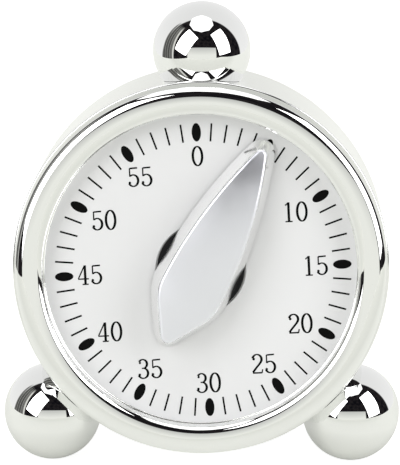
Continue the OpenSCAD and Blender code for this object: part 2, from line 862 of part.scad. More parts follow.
module escape_wheel() {
    pitch = 360 / escape_teeth;
    points = [for (tooth = [0 : escape_teeth - 1])
        each [polar(escape_root_r, tooth * pitch), polar(escape_r, tooth * pitch + pitch * 0.7),
            polar(escape_r, tooth * pitch + pitch * 0.8)]];
    color("gold") stand() at(escape_at) difference() {
        translate([0, 0, escape_wheel_front - escape_t]) linear_extrude(height = escape_t) polygon(points);
        disc(arbor_r, 0, -rear_plate_back);
    }
}

// ---------- pallet and balance ----------

escape_side = direction(escape_at, pallet_at);
pallet_pins = [for (side = [-1, 1])
    escape_at + polar(pallet_pin_reach, escape_side + side * pallet_pin_spread)];

module pallet_arbor() {
    color("silver") stand() at(pallet_at) arbor(arbor_r);
}

module pallet_anchor() {
    pin_front = escape_wheel_front + 0.1;
    color("silver") stand() difference() {
        union() {
            at(pallet_at) disc(2 * arbor_r, pallet_front, pallet_t);
            for (pin = pallet_pins) {
                bar(pallet_at, pin, arbor_r, pallet_front, pallet_t);
                at(pin) disc(0.6 * arbor_r, pallet_front, pallet_t);
                at(pin) disc(pallet_pin_r, pin_front, pin_front - pallet_front);
            }
        }
        at(pallet_at) disc(arbor_r, pallet_front + 1, pallet_t + 2);
    }
}

module balance_bar() {
    color("gold") stand() at(pallet_at) difference() {
        union() {
            disc(2 * arbor_r, balance_front, pallet_t);
            for (angle = [60, 240]) {
                bar(centre_at, polar(balance_r - arbor_r, angle), arbor_r, balance_front, pallet_t);
                at(polar(balance_r - arbor_r, angle)) disc(arbor_r, balance_front, pallet_t);
            }
        }
        disc(arbor_r, balance_front + 1, pallet_t + 2);
    }
}

// ---------- release lever ----------

module lever_arbor() {
    color("silver") stand() at(lever_at) arbor(arbor_r);
}

module release_lever() {
    lever_t = lever_front - cam_back;
    color("silver") stand() difference() {
        union() {
            at(lever_at) disc(2 * arbor_r, lever_front, lever_t);
            bar(lever_at, nose_at, 1.8 * nose_r, lever_front, lever_t);
            at(nose_at) disc(nose_r, lever_front, lever_t);
        }
        at(lever_at) disc(arbor_r, lever_front + 1, lever_t + 2);
    }
}

module hair_spring(place, end_angle) {
    color("steelblue") stand() at(place)
        spiral_spring(hair_inner_r, hair_outer_r, 3, hair_t, end_angle, hair_front, hair_h);
}

module lever_spring() {
    hair_spring(lever_at, lever_stud_angle);
}

module hammer_spring() {
    hair_spring(hammer_at, hammer_stud_angle);
}

module spring_studs() {
    length = front_plate_back - hair_front + hair_h;
    reach = hair_outer_r + stud_r + spring_end_gap;
    color("gold") stand() {
        at(lever_at + polar(reach, lever_stud_angle)) disc(stud_r, front_plate_back, length);
        at(hammer_at + polar(reach, hammer_stud_angle)) disc(stud_r, front_plate_back, length);
    }
}

// ---------- hammer and bell ----------

module hammer_arbor() {
    overrun = rear_plate_back - hammer_front + hammer_t;
    color("silver") stand() at(hammer_at) arbor(arbor_r, overrun);
}

module hammer_arm() {
    arm_w = 1.4;
    color("silver") stand() difference() {
        union() {
            at(hammer_at) disc(2 * arbor_r, hammer_front, hammer_t);
            bar(hammer_at, head_at, arm_w, hammer_front, hammer_t);
            at(head_at) disc(hammer_head_r, hammer_front, hammer_t);
        }
        at(hammer_at) disc(pivot_r, hammer_front + 1, hammer_t + 2);
    }
}

module hammer_head() {
    color("silver") stand() at(head_at)
        disc(hammer_head_r, hammer_front - hammer_t, hammer_head_h - hammer_t);
}

bell_cap_h = bell_h - bell_skirt_h;
bell_cap_r = (bell_r * bell_r + bell_cap_h * bell_cap_h) / (2 * bell_cap_h);
bell_cap_middle = bell_back + bell_cap_r;
bell_seat = bell_cap_middle - sqrt(pow(bell_cap_r - bell_wall, 2) - pow(bell_post_r, 2));

module bell_dome() {
    color("gold") stand() difference() {
        intersection() {
            disc(bell_r, bell_front, bell_h);
            translate([0, 0, bell_cap_middle]) sphere(bell_cap_r);
        }
        intersection() {
            disc(bell_r - bell_wall, bell_front + 1, bell_h + 1);
            translate([0, 0, bell_cap_middle]) sphere(bell_cap_r - bell_wall);
        }
        disc(bell_screw_r + thread_gap, bell_front, bell_h + 1);
    }
}

module bell_post() {
    length = rear_plate_back - bell_seat - seat_gap;
    pivot_pocket = 0.6;
    bore_end = rear_plate_back - length + bell_screw_grip + bore_runout;
    color("gold") stand() difference() {
        disc(bell_post_r, rear_plate_back, length);
        disc(main_pivot_r + passing_gap, rear_plate_back + 1, 1 + pivot_pocket);
        disc(bell_screw_r + thread_gap, bore_end, bell_screw_grip + 1);
    }
}

module bell_screw() {
    length = bell_wall + bell_screw_grip;
    color("silver") stand()
        rear_slotted_screw(bell_back, length, 2 * bell_screw_r, bell_screw_head_h, bell_screw_r);
}

drum_shell();
bezel();
dial_plate();
movement_carrier();
carrier_screws();
back_cover();
back_cover_screws();
top_ball();
left_ball();
right_ball();
ball_screws();
ball_washers();
knob_cap();
knob_core();
main_arbor();
front_plate();
rear_plate();
movement_pillars();
front_pillar_screws();
rear_pillar_screws();
movement_screws();
main_wheel();
release_cam();
mainspring();
mainspring_anchor();
second_arbor();
second_pinion();
second_wheel();
third_arbor();
third_pinion();
third_wheel();
escape_arbor();
escape_pinion();
escape_wheel();
pallet_arbor();
pallet_anchor();
balance_bar();
stop_tab();
lever_arbor();
release_lever();
lever_spring();
hammer_arbor();
hammer_arm();
hammer_head();
hammer_spring();
spring_studs();
bell_dome();
bell_post();
bell_screw();
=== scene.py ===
"""Looks of a desk-top mechanical sixty-minute timer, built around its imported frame.

Lengths are in metres. Shapes are drawn in the case's own axes, x to the right of the dial, y up the dial
and z out of the dial from the middle of its face, and CASE then stands them up where the frame has them.
"""

import json
import math

import bmesh
import bpy
from bpy.props import FloatProperty, FloatVectorProperty, IntProperty, PointerProperty
from mathutils import Matrix, Vector
from mathutils.geometry import delaunay_2d_cdt


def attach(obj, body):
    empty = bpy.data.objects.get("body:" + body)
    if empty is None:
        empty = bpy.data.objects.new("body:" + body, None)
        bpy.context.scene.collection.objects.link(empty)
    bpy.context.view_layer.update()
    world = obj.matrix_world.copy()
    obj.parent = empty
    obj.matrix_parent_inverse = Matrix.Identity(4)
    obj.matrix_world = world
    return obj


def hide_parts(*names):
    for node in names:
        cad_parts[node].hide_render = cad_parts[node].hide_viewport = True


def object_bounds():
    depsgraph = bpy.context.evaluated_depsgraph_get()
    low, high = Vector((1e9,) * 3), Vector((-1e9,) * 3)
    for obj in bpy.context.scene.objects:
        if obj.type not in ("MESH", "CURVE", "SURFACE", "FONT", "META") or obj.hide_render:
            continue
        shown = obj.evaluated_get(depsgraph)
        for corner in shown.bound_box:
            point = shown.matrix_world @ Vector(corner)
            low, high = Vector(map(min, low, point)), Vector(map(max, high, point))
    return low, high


bl_info = {
    "name": "Desk Timer",
    "version": (1, 0, 0),
    "blender": (4, 5, 0),
    "location": "3D View > Sidebar > Timer",
    "description": "Builds the visible pieces, finishes and studio of a desk-top mechanical timer",
    "category": "Add Mesh",
}

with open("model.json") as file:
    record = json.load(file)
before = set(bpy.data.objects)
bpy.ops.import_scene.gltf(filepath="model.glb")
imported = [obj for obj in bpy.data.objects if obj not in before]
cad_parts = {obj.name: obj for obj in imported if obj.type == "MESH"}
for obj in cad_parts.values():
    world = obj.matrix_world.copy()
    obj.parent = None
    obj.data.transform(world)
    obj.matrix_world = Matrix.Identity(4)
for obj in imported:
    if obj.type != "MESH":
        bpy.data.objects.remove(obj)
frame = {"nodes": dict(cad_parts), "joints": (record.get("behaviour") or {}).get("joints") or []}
cad_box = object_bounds()

MM = 0.001

# ---------- the case's axes and the frame's sizes ----------

pointer_joint = next(joint for joint in frame["joints"] if joint["name"] == "pointer_turn")
OUT = -Vector(pointer_joint["axis"]).normalized()
RIGHT = Vector((1.0, 0.0, 0.0))
UP = OUT.cross(RIGHT)


def case_matrix(origin):
    """Matrix from the case's axes, set at origin, to the frame's axes."""
    turn = Matrix((RIGHT, UP, OUT)).transposed().to_4x4()
    return Matrix.Translation(origin) @ turn


def case_points(node, case):
    """The CAD node's vertices in the case's axes."""
    inverse = case.inverted()
    return [inverse @ vertex.co for vertex in frame["nodes"][node].data.vertices]


def dial_face_matrix():
    """Case axes set in the middle of the dial's front face."""
    at_pivot = case_matrix(Vector(pointer_joint["pos_m"]))
    level = max(point.z for point in case_points("dial_plate", at_pivot))
    return case_matrix(at_pivot @ Vector((0, 0, level)))


CASE = dial_face_matrix()


class Reach:
    """How far a CAD node reaches: radii from the dial's axis and levels along it."""

    def __init__(self, node):
        points = case_points(node, CASE)
        radii = [math.hypot(point.x, point.y) for point in points]
        self.inner, self.outer = min(radii), max(radii)
        self.back, self.front = min(p.z for p in points), max(p.z for p in points)
        self.far = max(points, key=lambda point: math.hypot(point.x, point.y))
        self.low = Vector([min(p[axis] for p in points) for axis in range(3)])
        self.high = Vector([max(p[axis] for p in points) for axis in range(3)])


DRUM = Reach("drum_shell")
BEZEL = Reach("bezel")
DIAL = Reach("dial_plate")
CAP = Reach("knob_cap")
CORE = Reach("knob_core")
FOOT = min((CASE @ point for point in case_points("right_ball", CASE)), key=lambda point: point.z)
POINTER_ANGLE = math.atan2(CAP.far.y, CAP.far.x)
FLANGE_GAP = 0.2 * MM
CORE_FLANGE = DIAL.inner - FLANGE_GAP


# ---------- settings ----------


def length(description, millimetres, least=0.0):
    """A length that a user may change, given here in millimetres."""
    return FloatProperty(
        description=description, default=millimetres * MM, min=least, unit="LENGTH", precision=5
    )


def angle(description, degrees):
    """An angle that a user may change, given here in degrees."""
    return FloatProperty(description=description, default=math.radians(degrees), subtype="ANGLE")


def brightness(description, default):
    """A light's brightness that a user may change."""
    return FloatProperty(description=description, default=default, min=0)


def colour(description, default):
    """A linear colour that a user may change."""
    return FloatVectorProperty(
        description=description, default=default, size=3, min=0, max=1, subtype="COLOR"
    )


class TimerCaseSettings(bpy.types.PropertyGroup):
    """Sizes of the drum, its bezel and the balls."""

    wall: length("Wall of the drum", 1.4)
    rear_edge: length("Radius of the drum's rounded rear edge", 1.5)
    front_edge: length("Radius of the drum's rounded front edge", 0.4)
    lip: length("Thickness of the lip turned in at the drum's rear", 1.2)
    bezel_crest_in: length("How far the bezel's crest lies in from its outer edge", 2.9)
    bezel_crown: length("Radius of the soft crown along the bezel's crest", 7)
    bezel_shoulder: length("Radius of the bezel's rounded outer shoulder", 3)
    bezel_lip: length("Radius of the rounding on the bezel's inner lip", 2.2)
    bezel_edge: length("Radius of the edges that the bezel's walls start from", 0.25)
    bezel_bead: length("Radius of the bead at the foot of the bezel's inner wall", 0.3)
    spigot_wall: length("Wall of the bezel's spigot inside the drum", 0.85)
    ball_bore: length("Radius of the screw hole in each ball", 1.52)
    ball_bore_depth: length("Depth of that hole from the drum's surface", 5.3)


class TimerKnobSettings(bpy.types.PropertyGroup):
    """Sizes of the pointer knob's metal cap and of its black core."""

    tip_reach: length("Reach of the pointer's tip from the pivot", 28.2)
    tail_reach: length("Reach of the pointer's tail from the pivot", 15.8)
    half_width: length("Half width of the top edge at its widest", 6.65)
    widest_back: length("Distance of the widest place behind the pivot", 4)
    front_arc: length("Radius of the long arcs towards the tip", 95)
    tail_arc: length("Radius of the short arcs towards the tail", 9.5)
    tip_round: length("Radius of the rounded tip", 1.4)
    tail_round: length("Radius of the rounded tail", 1.8)
    flare: length("How much wider the base is than the top edge", 1.4)
    edge_height: length("Height of the top edge over the dial", 7.5)
    edge_round: length("Radius of the rounded top edge", 0.85)
    foot_round: length("Radius of the rounding at the cap's foot", 0.2)
    tip_drop: length("How far the top falls towards the tip", 3.2)
    wall: length("Wall of the cap", 1.5)
    core_gap: length("Gap between the cap and its core", 0.1)
    neck: length("Radius of the neck over the core's flange", 6)
    arbor: length("Radius of the bore for the main arbor", 2.02)


class TimerDialSettings(bpy.types.PropertyGroup):
    """Sizes of the printed dial."""

    turn: angle("How far the print is turned in the case, anticlockwise", 2.8)
    off_right: length("How far right of the case's axis the print lies", 0.46, least=-1.0)
    off_up: length("How far over the case's axis the print lies", -0.35, least=-1.0)
    minutes: IntProperty(description="Marks round the dial", default=60, min=12)
    mark_radius: length("Radius of the circle through the middle of the marks", 28.3)
    tick_length: length("Length of a minute mark", 3.7)
    tick_width: length("Width of a minute mark", 0.36)
    oval_length: length("Length of a five-minute mark", 3.76)
    oval_width: length("Width of a five-minute mark", 1.87)
    numeral_radius: length("Radius of the circle through the numerals", 22.85)
    digit_height: length("Height of the numerals", 4.05)
    digit_pitch: length("Distance between two digits of a numeral", 2.67)
    ink_height: length("How far the ink stands over the dial", 0.02)
    hole_edge: length("Radius of the rounding at the hole's edge", 0.22)


class TimerFinishSettings(bpy.types.PropertyGroup):
    """Colours of the finishes."""

    chrome: colour("Reflected colour of the chrome plating", (0.93, 0.935, 0.925))
    flank: colour("Reflected colour of the knob's polished flanks", (0.98, 0.98, 0.98))
    satin: colour("Reflected colour of the knob's satin plating", (0.92, 0.925, 0.985))
    dial: colour("Lacquer of the dial", (0.80, 0.80, 0.81))
    ink: colour("Printed marks and numerals", (0.004, 0.004, 0.004))
    plastic: colour("Black plastic of the knob's core", (0.012, 0.012, 0.013))
    brass: colour("Brass of the movement", (0.78, 0.56, 0.25))
    steel: colour("Ground steel of arbors and screws", (0.60, 0.60, 0.61))
    blued: colour("Blued spring steel", (0.07, 0.10, 0.24))


class TimerStudioSettings(bpy.types.PropertyGroup):
    """Camera, floor and studio light."""

    distance: length("Distance from the camera to the dial", 706.36)
    pitch: angle("Angle of the camera over the dial's axis", 8.494)
    yaw: angle("Angle of the camera to the side of the dial's axis", -1.176)
    aim_right: length("How far right of the dial's middle the camera aims", -0.17, least=-1.0)
    aim_up: length("How far over the dial's middle the camera aims", 7.445, least=-1.0)
    lens: FloatProperty(description="Focal length in millimetres", default=269.5, min=10)
    sweep: brightness("Brightness of the white sweep", 0.87)
    softbox: brightness("Brightness of the two softboxes", 3.0)
    octagon: brightness("Brightness of the overhead light", 1.5)


SETTINGS = {
    "timer_case": TimerCaseSettings,
    "timer_knob": TimerKnobSettings,
    "timer_dial": TimerDialSettings,
    "timer_finish": TimerFinishSettings,
    "timer_studio": TimerStudioSettings,
}


# ---------- mesh helpers ----------


def placed(name, data):
    """A new object in the scene."""
    thing = bpy.data.objects.new(name, data)
    bpy.context.scene.collection.objects.link(thing)
    return thing


def polar(radius, turn):
    """Point at a radius and an angle in radians."""
    return Vector((radius * math.cos(turn), radius * math.sin(turn)))


def arc(middle, radius, start, end, steps):
    """Points along an arc, angles in degrees."""
    turns = [math.radians(start + (end - start) * step / steps) for step in range(steps + 1)]
    return [Vector(middle) + polar(radius, turn) for turn in turns]


def supported(outline, margin=0.06 * MM):
    """The closed outline with points added near the ends of its long stretches, which keep them flat."""
    points = []
    for here, there in zip(outline, outline[1:] + outline[:1]):
        points.append(here)
        along = there - here
        if along.length > 6 * margin:
            points.append(here + along * margin / along.length)
            points.append(there - along * margin / along.length)
    return points


def closed_rings(rings):
    """Faces between rings of equal length, each ring closed and the last joined to the first."""
    faces = []
    size = len(rings[0])
    for row in range(len(rings)):
        below = row * size
        above = (row + 1) % len(rings) * size
        for step in range(size):
            after = (step + 1) % size
            faces.append((below + step, below + after, above + after, above + step))
    return faces


def loft(rings):
    """Vertices and faces between rings of equal length, from the first to the last."""
    between = (len(rings) - 1) * len(rings[0])
    return [point for ring in rings for point in ring], closed_rings(rings)[:between]


def lathe(outline, segments=288):
    """Vertices and faces of a closed outline of (radius, level) turned round the dial's axis."""
    rings = []
    for step in range(segments):
        turn = step * math.tau / segments
        rings.append([(p.x * math.cos(turn), p.x * math.sin(turn), p.y) for p in outline])
    return [vertex for ring in rings for vertex in ring], closed_rings(rings)


def clean_mesh(name, vertices, faces, sharp=35):
    """A closed mesh in the frame's axes, from points in the case's axes, with its faces turned outwards."""
    mesh = bpy.data.meshes.new(name)
    mesh.from_pydata([CASE @ Vector(vertex) for vertex in vertices], [], faces)
    form = bmesh.new()
    form.from_mesh(mesh)
    bmesh.ops.remove_doubles(form, verts=form.verts, dist=1e-7)
    bmesh.ops.dissolve_degenerate(form, edges=form.edges, dist=1e-7)
    bmesh.ops.recalc_face_normals(form, faces=form.faces)
    form.to_mesh(mesh)
    form.free()
    mesh.shade_smooth()
    mesh.set_sharp_from_angle(angle=math.radians(sharp))
    return mesh


def finish_piece(mesh, body, material, nodes=()):
    """Puts the mesh in the scene as a piece that rides on a body, with its finish."""
    piece = placed(mesh.name, mesh)
    mesh.materials.clear()
    mesh.materials.append(material)
    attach(piece, body)
    if nodes:
        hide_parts(*nodes)
    return piece


# ---------- node helpers ----------


class Tree:
    """Short calls that build one node tree."""

    def __init__(self, tree):
        self.nodes = tree.nodes
        self.links = tree.links

    def set(self, socket, value):
        """Links an output to the socket, or sets its value."""
        if isinstance(value, bpy.types.NodeSocket):
            self.links.new(value, socket)
        else:
            socket.default_value = value

    def add(self, kind, inputs=None, **options):
        """Adds a node with its options and inputs, and returns it."""
        node = self.nodes.new(kind)
        for option, value in options.items():
            setattr(node, option, value)
        for name, value in (inputs or {}).items():
            self.set(node.inputs[name], value)
        return node

    def math(self, operation, *values):
        """Output of one Math node."""
        return self.add("ShaderNodeMath", dict(enumerate(values)), operation=operation).outputs[0]

    def dot(self, vector, axis):
        """Output of the dot product of a vector output and a fixed axis."""
        node = self.add("ShaderNodeVectorMath", {0: vector, 1: axis}, operation="DOT_PRODUCT")
        return node.outputs["Value"]

    def ramp(self, value, low, high, from_value, to_value):
        """Output that goes from one number to another as value goes from low to high."""
        limits = {"From Min": low, "From Max": high, "To Min": from_value, "To Max": to_value}
        return self.add("ShaderNodeMapRange", {"Value": value, **limits}).outputs[0]

    def blend(self, factor, first, second):
        """Output of a colour that goes from the first to the second."""
        node = self.add("ShaderNodeMix", data_type="RGBA")
        for name, value in (("Factor_Float", factor), ("A_Color", first), ("B_Color", second)):
            socket = next(item for item in node.inputs if item.identifier == name)
            self.set(socket, value)
        return next(item for item in node.outputs if item.identifier == "Result_Color")

    def noise(self, vector, scale, detail=2.0, roughness=0.5):
        """Output of a noise texture."""
        grain = {"Vector": vector, "Scale": scale, "Detail": detail, "Roughness": roughness}
        return self.add("ShaderNodeTexNoise", grain).outputs["Fac"]


def empty_tree(owner):
    """The owner's node tree, with nothing in it."""
    owner.use_nodes = True
    tree = Tree(owner.node_tree)
    tree.nodes.clear()
    return tree


def opaque(rgb, share=1.0):
    """The colour, or that share of it, with its alpha."""
    return (*(channel * share for channel in rgb), 1.0)


# Where a surface counts as facing the way the dial does: from the side, to the front
FACING = (0.5, 0.8)
# How rough the polished flanks are, as a share of the rest
FLANK_ROUGHNESS = 0.4
# Shares of the clouds and of the grain in a finish, and the noise levels between which it changes
CLOUD_SHARE, GRAIN_SHARE = 0.65, 0.35
NOISE_RANGE = (0.3, 0.7)
# Noise scale of the turned rings, and the noise levels between which they show
RING_SCALE = 1100.0
RING_RANGE = (0.5, 0.7)


def finish(name, rgb, roughness, spread, cloud, grain, relief, shade, metallic=1.0, specular=0.5,
           stretch=(1.0, 1.0, 1.0), rings=0.0, flank=None):
    """A material whose roughness clouds over, whose colour shades a little and whose grain has relief.

    roughness goes from 1 - spread to 1 + spread of its value over clouds of 1 / cloud metres. shade is how
    much darker the colour gets, relief the grain's height in metres, and stretch draws the grain out.
    rings is how much darker fine turned rings along the dial's axis get. flank is the colour of the sides
    that don't face the way the dial does, which are polished smoother.
    """
    material = bpy.data.materials.new(name)
    tree = empty_tree(material)
    place = tree.add("ShaderNodeTexCoord").outputs["Object"]
    cloudy = tree.noise(place, cloud, detail=4.0)
    drawn = tree.add("ShaderNodeMapping", {"Vector": place, "Scale": stretch}).outputs["Vector"]
    grained = tree.noise(drawn, grain, detail=3.0, roughness=0.6)
    clouds, grains = tree.math("MULTIPLY", cloudy, CLOUD_SHARE), tree.math("MULTIPLY", grained, GRAIN_SHARE)
    both = tree.math("ADD", clouds, grains)
    shader = tree.add("ShaderNodeBsdfPrincipled", {"Metallic": metallic, "Specular IOR Level": specular})
    tint = tree.blend(both, opaque(rgb, 1 - 2 * shade), opaque(rgb))
    if rings:
        depth = tree.add("ShaderNodeCombineXYZ", {"X": tree.dot(place, OUT)}).outputs[0]
        turned = tree.ramp(tree.noise(depth, RING_SCALE, detail=4.0, roughness=0.8), *RING_RANGE, 0.0, 1.0)
        tint = tree.blend(tree.math("MULTIPLY", turned, cloudy), tint, opaque(rgb, 1 - rings))
    rough = tree.ramp(both, *NOISE_RANGE, roughness * (1 - spread), roughness * (1 + spread))
    if flank:
        facing = tree.dot(tree.add("ShaderNodeNewGeometry").outputs["Normal"], OUT)
        tint = tree.blend(tree.ramp(facing, *FACING, 1.0, 0.0), tint, opaque(flank))
        rough = tree.math("MULTIPLY", rough, tree.ramp(facing, *FACING, FLANK_ROUGHNESS, 1.0))
    tree.set(shader.inputs["Base Color"], tint)
    tree.set(shader.inputs["Roughness"], rough)
    bump = tree.add("ShaderNodeBump", {"Strength": 1.0, "Distance": relief, "Height": grained})
    tree.set(shader.inputs["Normal"], bump.outputs["Normal"])
    tree.add("ShaderNodeOutputMaterial", {"Surface": shader.outputs["BSDF"]})
    return material


FINISHES = {
    "polished_chrome": ("chrome", 0.02, 0.5, 45.0, 900.0, 4e-7, 0.01, {}),
    "turned_chrome": ("chrome", 0.03, 0.5, 45.0, 900.0, 4e-7, 0.01, {"rings": 0.22}),
    "mirror_chrome": ("chrome", 0.012, 0.5, 70.0, 700.0, 2e-7, 0.008, {}),
    "satin_silver": ("satin", 0.34, 0.2, 160.0, 9000.0, 3e-6, 0.03, {"flank": "flank"}),
    "dial_lacquer": ("dial", 0.34, 0.15, 90.0, 12000.0, 1.5e-6, 0.015, {"metallic": 0.0}),
    "dial_ink": ("ink", 0.45, 0.2, 400.0, 15000.0, 1e-6, 0.12, {"metallic": 0.0, "specular": 0.05}),
    "black_plastic": ("plastic", 0.5, 0.2, 300.0, 6000.0, 4e-6, 0.1, {"metallic": 0.0, "specular": 0.12}),
    "rolled_brass": ("brass", 0.24, 0.3, 150.0, 2500.0, 2e-6, 0.08, {"stretch": (1.0, 8.0, 8.0)}),
    "ground_steel": ("steel", 0.22, 0.3, 300.0, 5000.0, 2e-6, 0.06, {}),
    "pressed_steel": ("steel", 0.36, 0.3, 80.0, 1800.0, 5e-6, 0.09, {}),
    "blued_steel": ("blued", 0.25, 0.3, 200.0, 4000.0, 1e-6, 0.2, {}),
}


def named_finish(name):
    """The finish of that name, made once."""
    if name in bpy.data.materials:
        return bpy.data.materials[name]
    look = bpy.context.scene.timer_finish
    rgb, *values, told = FINISHES[name]
    if "flank" in told:
        told = {**told, "flank": getattr(look, told["flank"])}
    return finish(name, getattr(look, rgb), *values, **told)


# ---------- case pieces ----------


SEAT_WIDTH = 3.3 * MM
SEAT_BEHIND_DIAL = 1.6 * MM
SPIGOT_GAP = 0.1 * MM
BEAD_LEVEL = 0.1 * MM
BEAD_START = 199


def drum_outline(case):
    """Section of the drum: wall, seat ring behind the dial and turned-in rear lip."""
    bore = DRUM.outer - case.wall
    seat = bore - SEAT_WIDTH
    seat_front = DIAL.back - SEAT_BEHIND_DIAL
    seat_back = seat_front - case.lip
    rear_turn = (DRUM.outer - case.rear_edge, DRUM.back + case.rear_edge)
    front_turn = (DRUM.outer - case.front_edge, DRUM.front - case.front_edge)
    inside = [(bore, seat_front), (seat, seat_front), (seat, seat_back), (bore, seat_back)]
    lip = [(bore, DRUM.back + case.lip), (DRUM.inner, DRUM.back + case.lip), (DRUM.inner, DRUM.back)]
    return (
        [Vector((bore, DRUM.front))]
        + [Vector(point) for point in inside + lip]
        + arc(rear_turn, case.rear_edge, -90, 0, 14)
        + arc(front_turn, case.front_edge, 0, 90, 8)
    )


def bezel_outline(case):
    """Section of the bezel: inner wall, lip, soft crown, shoulder, outer wall and spigot."""
    shoulder_turn, lip_turn = 80, 101
    crown, shoulder, lip, edge = case.bezel_crown, case.bezel_shoulder, case.bezel_lip, case.bezel_edge
    crown_middle = Vector((BEZEL.outer - case.bezel_crest_in, BEZEL.front - crown))
    lip_middle = crown_middle + polar(crown - lip, math.radians(lip_turn))
    shoulder_middle = crown_middle + polar(crown - shoulder, math.radians(shoulder_turn))
    lip_end = 180 - math.degrees(math.acos((lip_middle.x - BEZEL.inner - edge) / (lip - edge)))
    shoulder_end = math.degrees(math.acos((BEZEL.outer - edge - shoulder_middle.x) / (shoulder - edge)))
    lip_edge = lip_middle + polar(lip - edge, math.radians(lip_end))
    shoulder_edge = shoulder_middle + polar(shoulder - edge, math.radians(shoulder_end))
    spigot_in = DIAL.outer + SPIGOT_GAP
    spigot_out = spigot_in + case.spigot_wall
    spigot = [(spigot_out, 0), (spigot_out, BEZEL.back), (spigot_in, BEZEL.back), (spigot_in, 0)]
    return (
        arc((BEZEL.inner, BEAD_LEVEL), case.bezel_bead, BEAD_START, 90, 12)
        + arc(lip_edge, edge, 180, lip_end, 6)
        + arc(lip_middle, lip, lip_end, lip_turn, 16)[1:]
        + arc(crown_middle, crown, lip_turn, shoulder_turn, 12)[1:]
        + arc(shoulder_middle, shoulder, shoulder_turn, shoulder_end, 18)[1:]
        + arc(shoulder_edge, edge, shoulder_end, 0, 6)[1:]
        + [Vector((BEZEL.outer, 0))]
        + [Vector(point) for point in spigot]
    )


def dial_outline(dial):
    """Section of the dial plate with a rounded edge at its hole."""
    turn = (DIAL.inner + dial.hole_edge, DIAL.front - dial.hole_edge)
    return (
        [Vector((DIAL.outer, DIAL.front)), Vector((DIAL.outer, DIAL.back)), Vector((DIAL.inner, DIAL.back))]
        + arc(turn, dial.hole_edge, 180, 90, 8)
    )


# Radius that stands for a point in the middle of a ring
POINT = 1e-5


class Ball:
    """One ball: its middle and radius from the CAD node, and its cut where it meets the drum."""

    def __init__(self, node):
        reach = Reach(node)
        self.radius = (reach.front - reach.back) / 2
        middle = [self.from_far_side(reach.low[axis], reach.high[axis]) for axis in (0, 1)]
        self.reach = math.hypot(*middle)
        self.level = (reach.front + reach.back) / 2
        self.turn = math.atan2(middle[1], middle[0])
        self.seat = reach.inner

    def from_far_side(self, low, high):
        """Middle along one axis, from the side that lies farther from the drum's axis."""
        return high - self.radius if abs(high) > abs(low) else low + self.radius

    def cut_angle(self, side):
        """Angle from the ball's pole to the drum, along the meridian at the angle side."""
        square = (self.radius * math.sin(side)) ** 2
        linear = 2 * self.reach * self.radius
        rest = self.reach ** 2 + (self.radius * math.cos(side)) ** 2 - self.seat ** 2
        if square < 1e-12:
            return math.acos(-rest / linear)
        return math.acos((math.sqrt(linear ** 2 - 4 * square * rest) - linear) / (2 * square))

    def ring(self, turns, outs, overs):
        """Ring of points at angles round the ball's pole, out from it and over the drum's axis."""
        ring = []
        for turn, out, over in zip(turns, outs, overs):
            spot = polar(over, self.turn) + polar(out * math.cos(turn), self.turn + math.pi / 2)
            ring.append((spot.x, spot.y, self.level + out * math.sin(turn)))
        return ring

    def rings(self, bore, depth, rows=80, columns=128, saddle_rows=8):
        """Closed rings: down the sphere to the drum, in along the drum's surface, then up the bore."""
        turns = [step * math.tau / columns for step in range(columns)]
        cuts = [self.cut_angle(turn) for turn in turns]
        rings = []
        for row in range(rows + 1):
            downs = [max(row / rows * cut, POINT) for cut in cuts]
            outs = [self.radius * math.sin(down) for down in downs]
            overs = [self.reach + self.radius * math.cos(down) for down in downs]
            rings.append(self.ring(turns, outs, overs))
        edges = [self.radius * math.sin(cut) for cut in cuts]
        for row in range(1, saddle_rows + 1):
            outs = [edge + (bore - edge) * row / saddle_rows for edge in edges]
            sides = [out * math.cos(turn) for turn, out in zip(turns, outs)]
            overs = [math.sqrt(self.seat ** 2 - side ** 2) for side in sides]
            rings.append(self.ring(turns, outs, overs))
        for radius in (bore, POINT):
            rings.append(self.ring(turns, [radius] * columns, [self.seat + depth] * columns))
        return rings


def capped(rings):
    """Vertices and faces of a loft between the rings, with a cap at both ends."""
    points, faces = loft(rings)
    size = len(rings[0])
    return points, faces + [tuple(range(size)), tuple(range(len(points) - size, len(points)))]


# ---------- pointer knob ----------


LEAST_ROUND = 0.2 * MM
TAIL_SLOPE = 31.0
TIP_TURN = 84
FRONT_SHARE = 0.93
# The core: how far its flange lies behind the cap's foot and its neck before it, and its rounded edges
FLANGE_DROP = 0.7 * MM
NECK_RISE = 1 * MM
FLANGE_EDGE = 0.1 * MM
CORE_EDGE = 0.15 * MM


def knob_half(knob, grow):
    """Half of the knob's outline from tip to tail, grown evenly, with x towards the tip."""
    tip_slope = math.degrees(math.asin((knob.tip_reach - knob.tip_round + knob.widest_back) / knob.front_arc))
    front_middle = Vector((-knob.widest_back, knob.half_width - knob.front_arc))
    tail_middle = Vector((-knob.widest_back, knob.half_width - knob.tail_arc))
    tip_middle = (knob.tip_reach - knob.tip_round, 0)
    nose_middle = (knob.tail_round - knob.tail_reach, 0)
    tip_radius = max(knob.tip_round + grow, LEAST_ROUND)
    nose_radius = max(knob.tail_round + grow, LEAST_ROUND)
    tip = arc(tip_middle, tip_radius, 0, TIP_TURN - tip_slope / 2, 10)
    front = arc(front_middle, knob.front_arc + grow, 90 - tip_slope * FRONT_SHARE, 90, 34)
    tail = arc(tail_middle, knob.tail_arc + grow, 90, 90 + TAIL_SLOPE, 10)[1:]
    nose = arc(nose_middle, nose_radius, 90 + TAIL_SLOPE, 180, 10)
    return tip + front + tail + nose


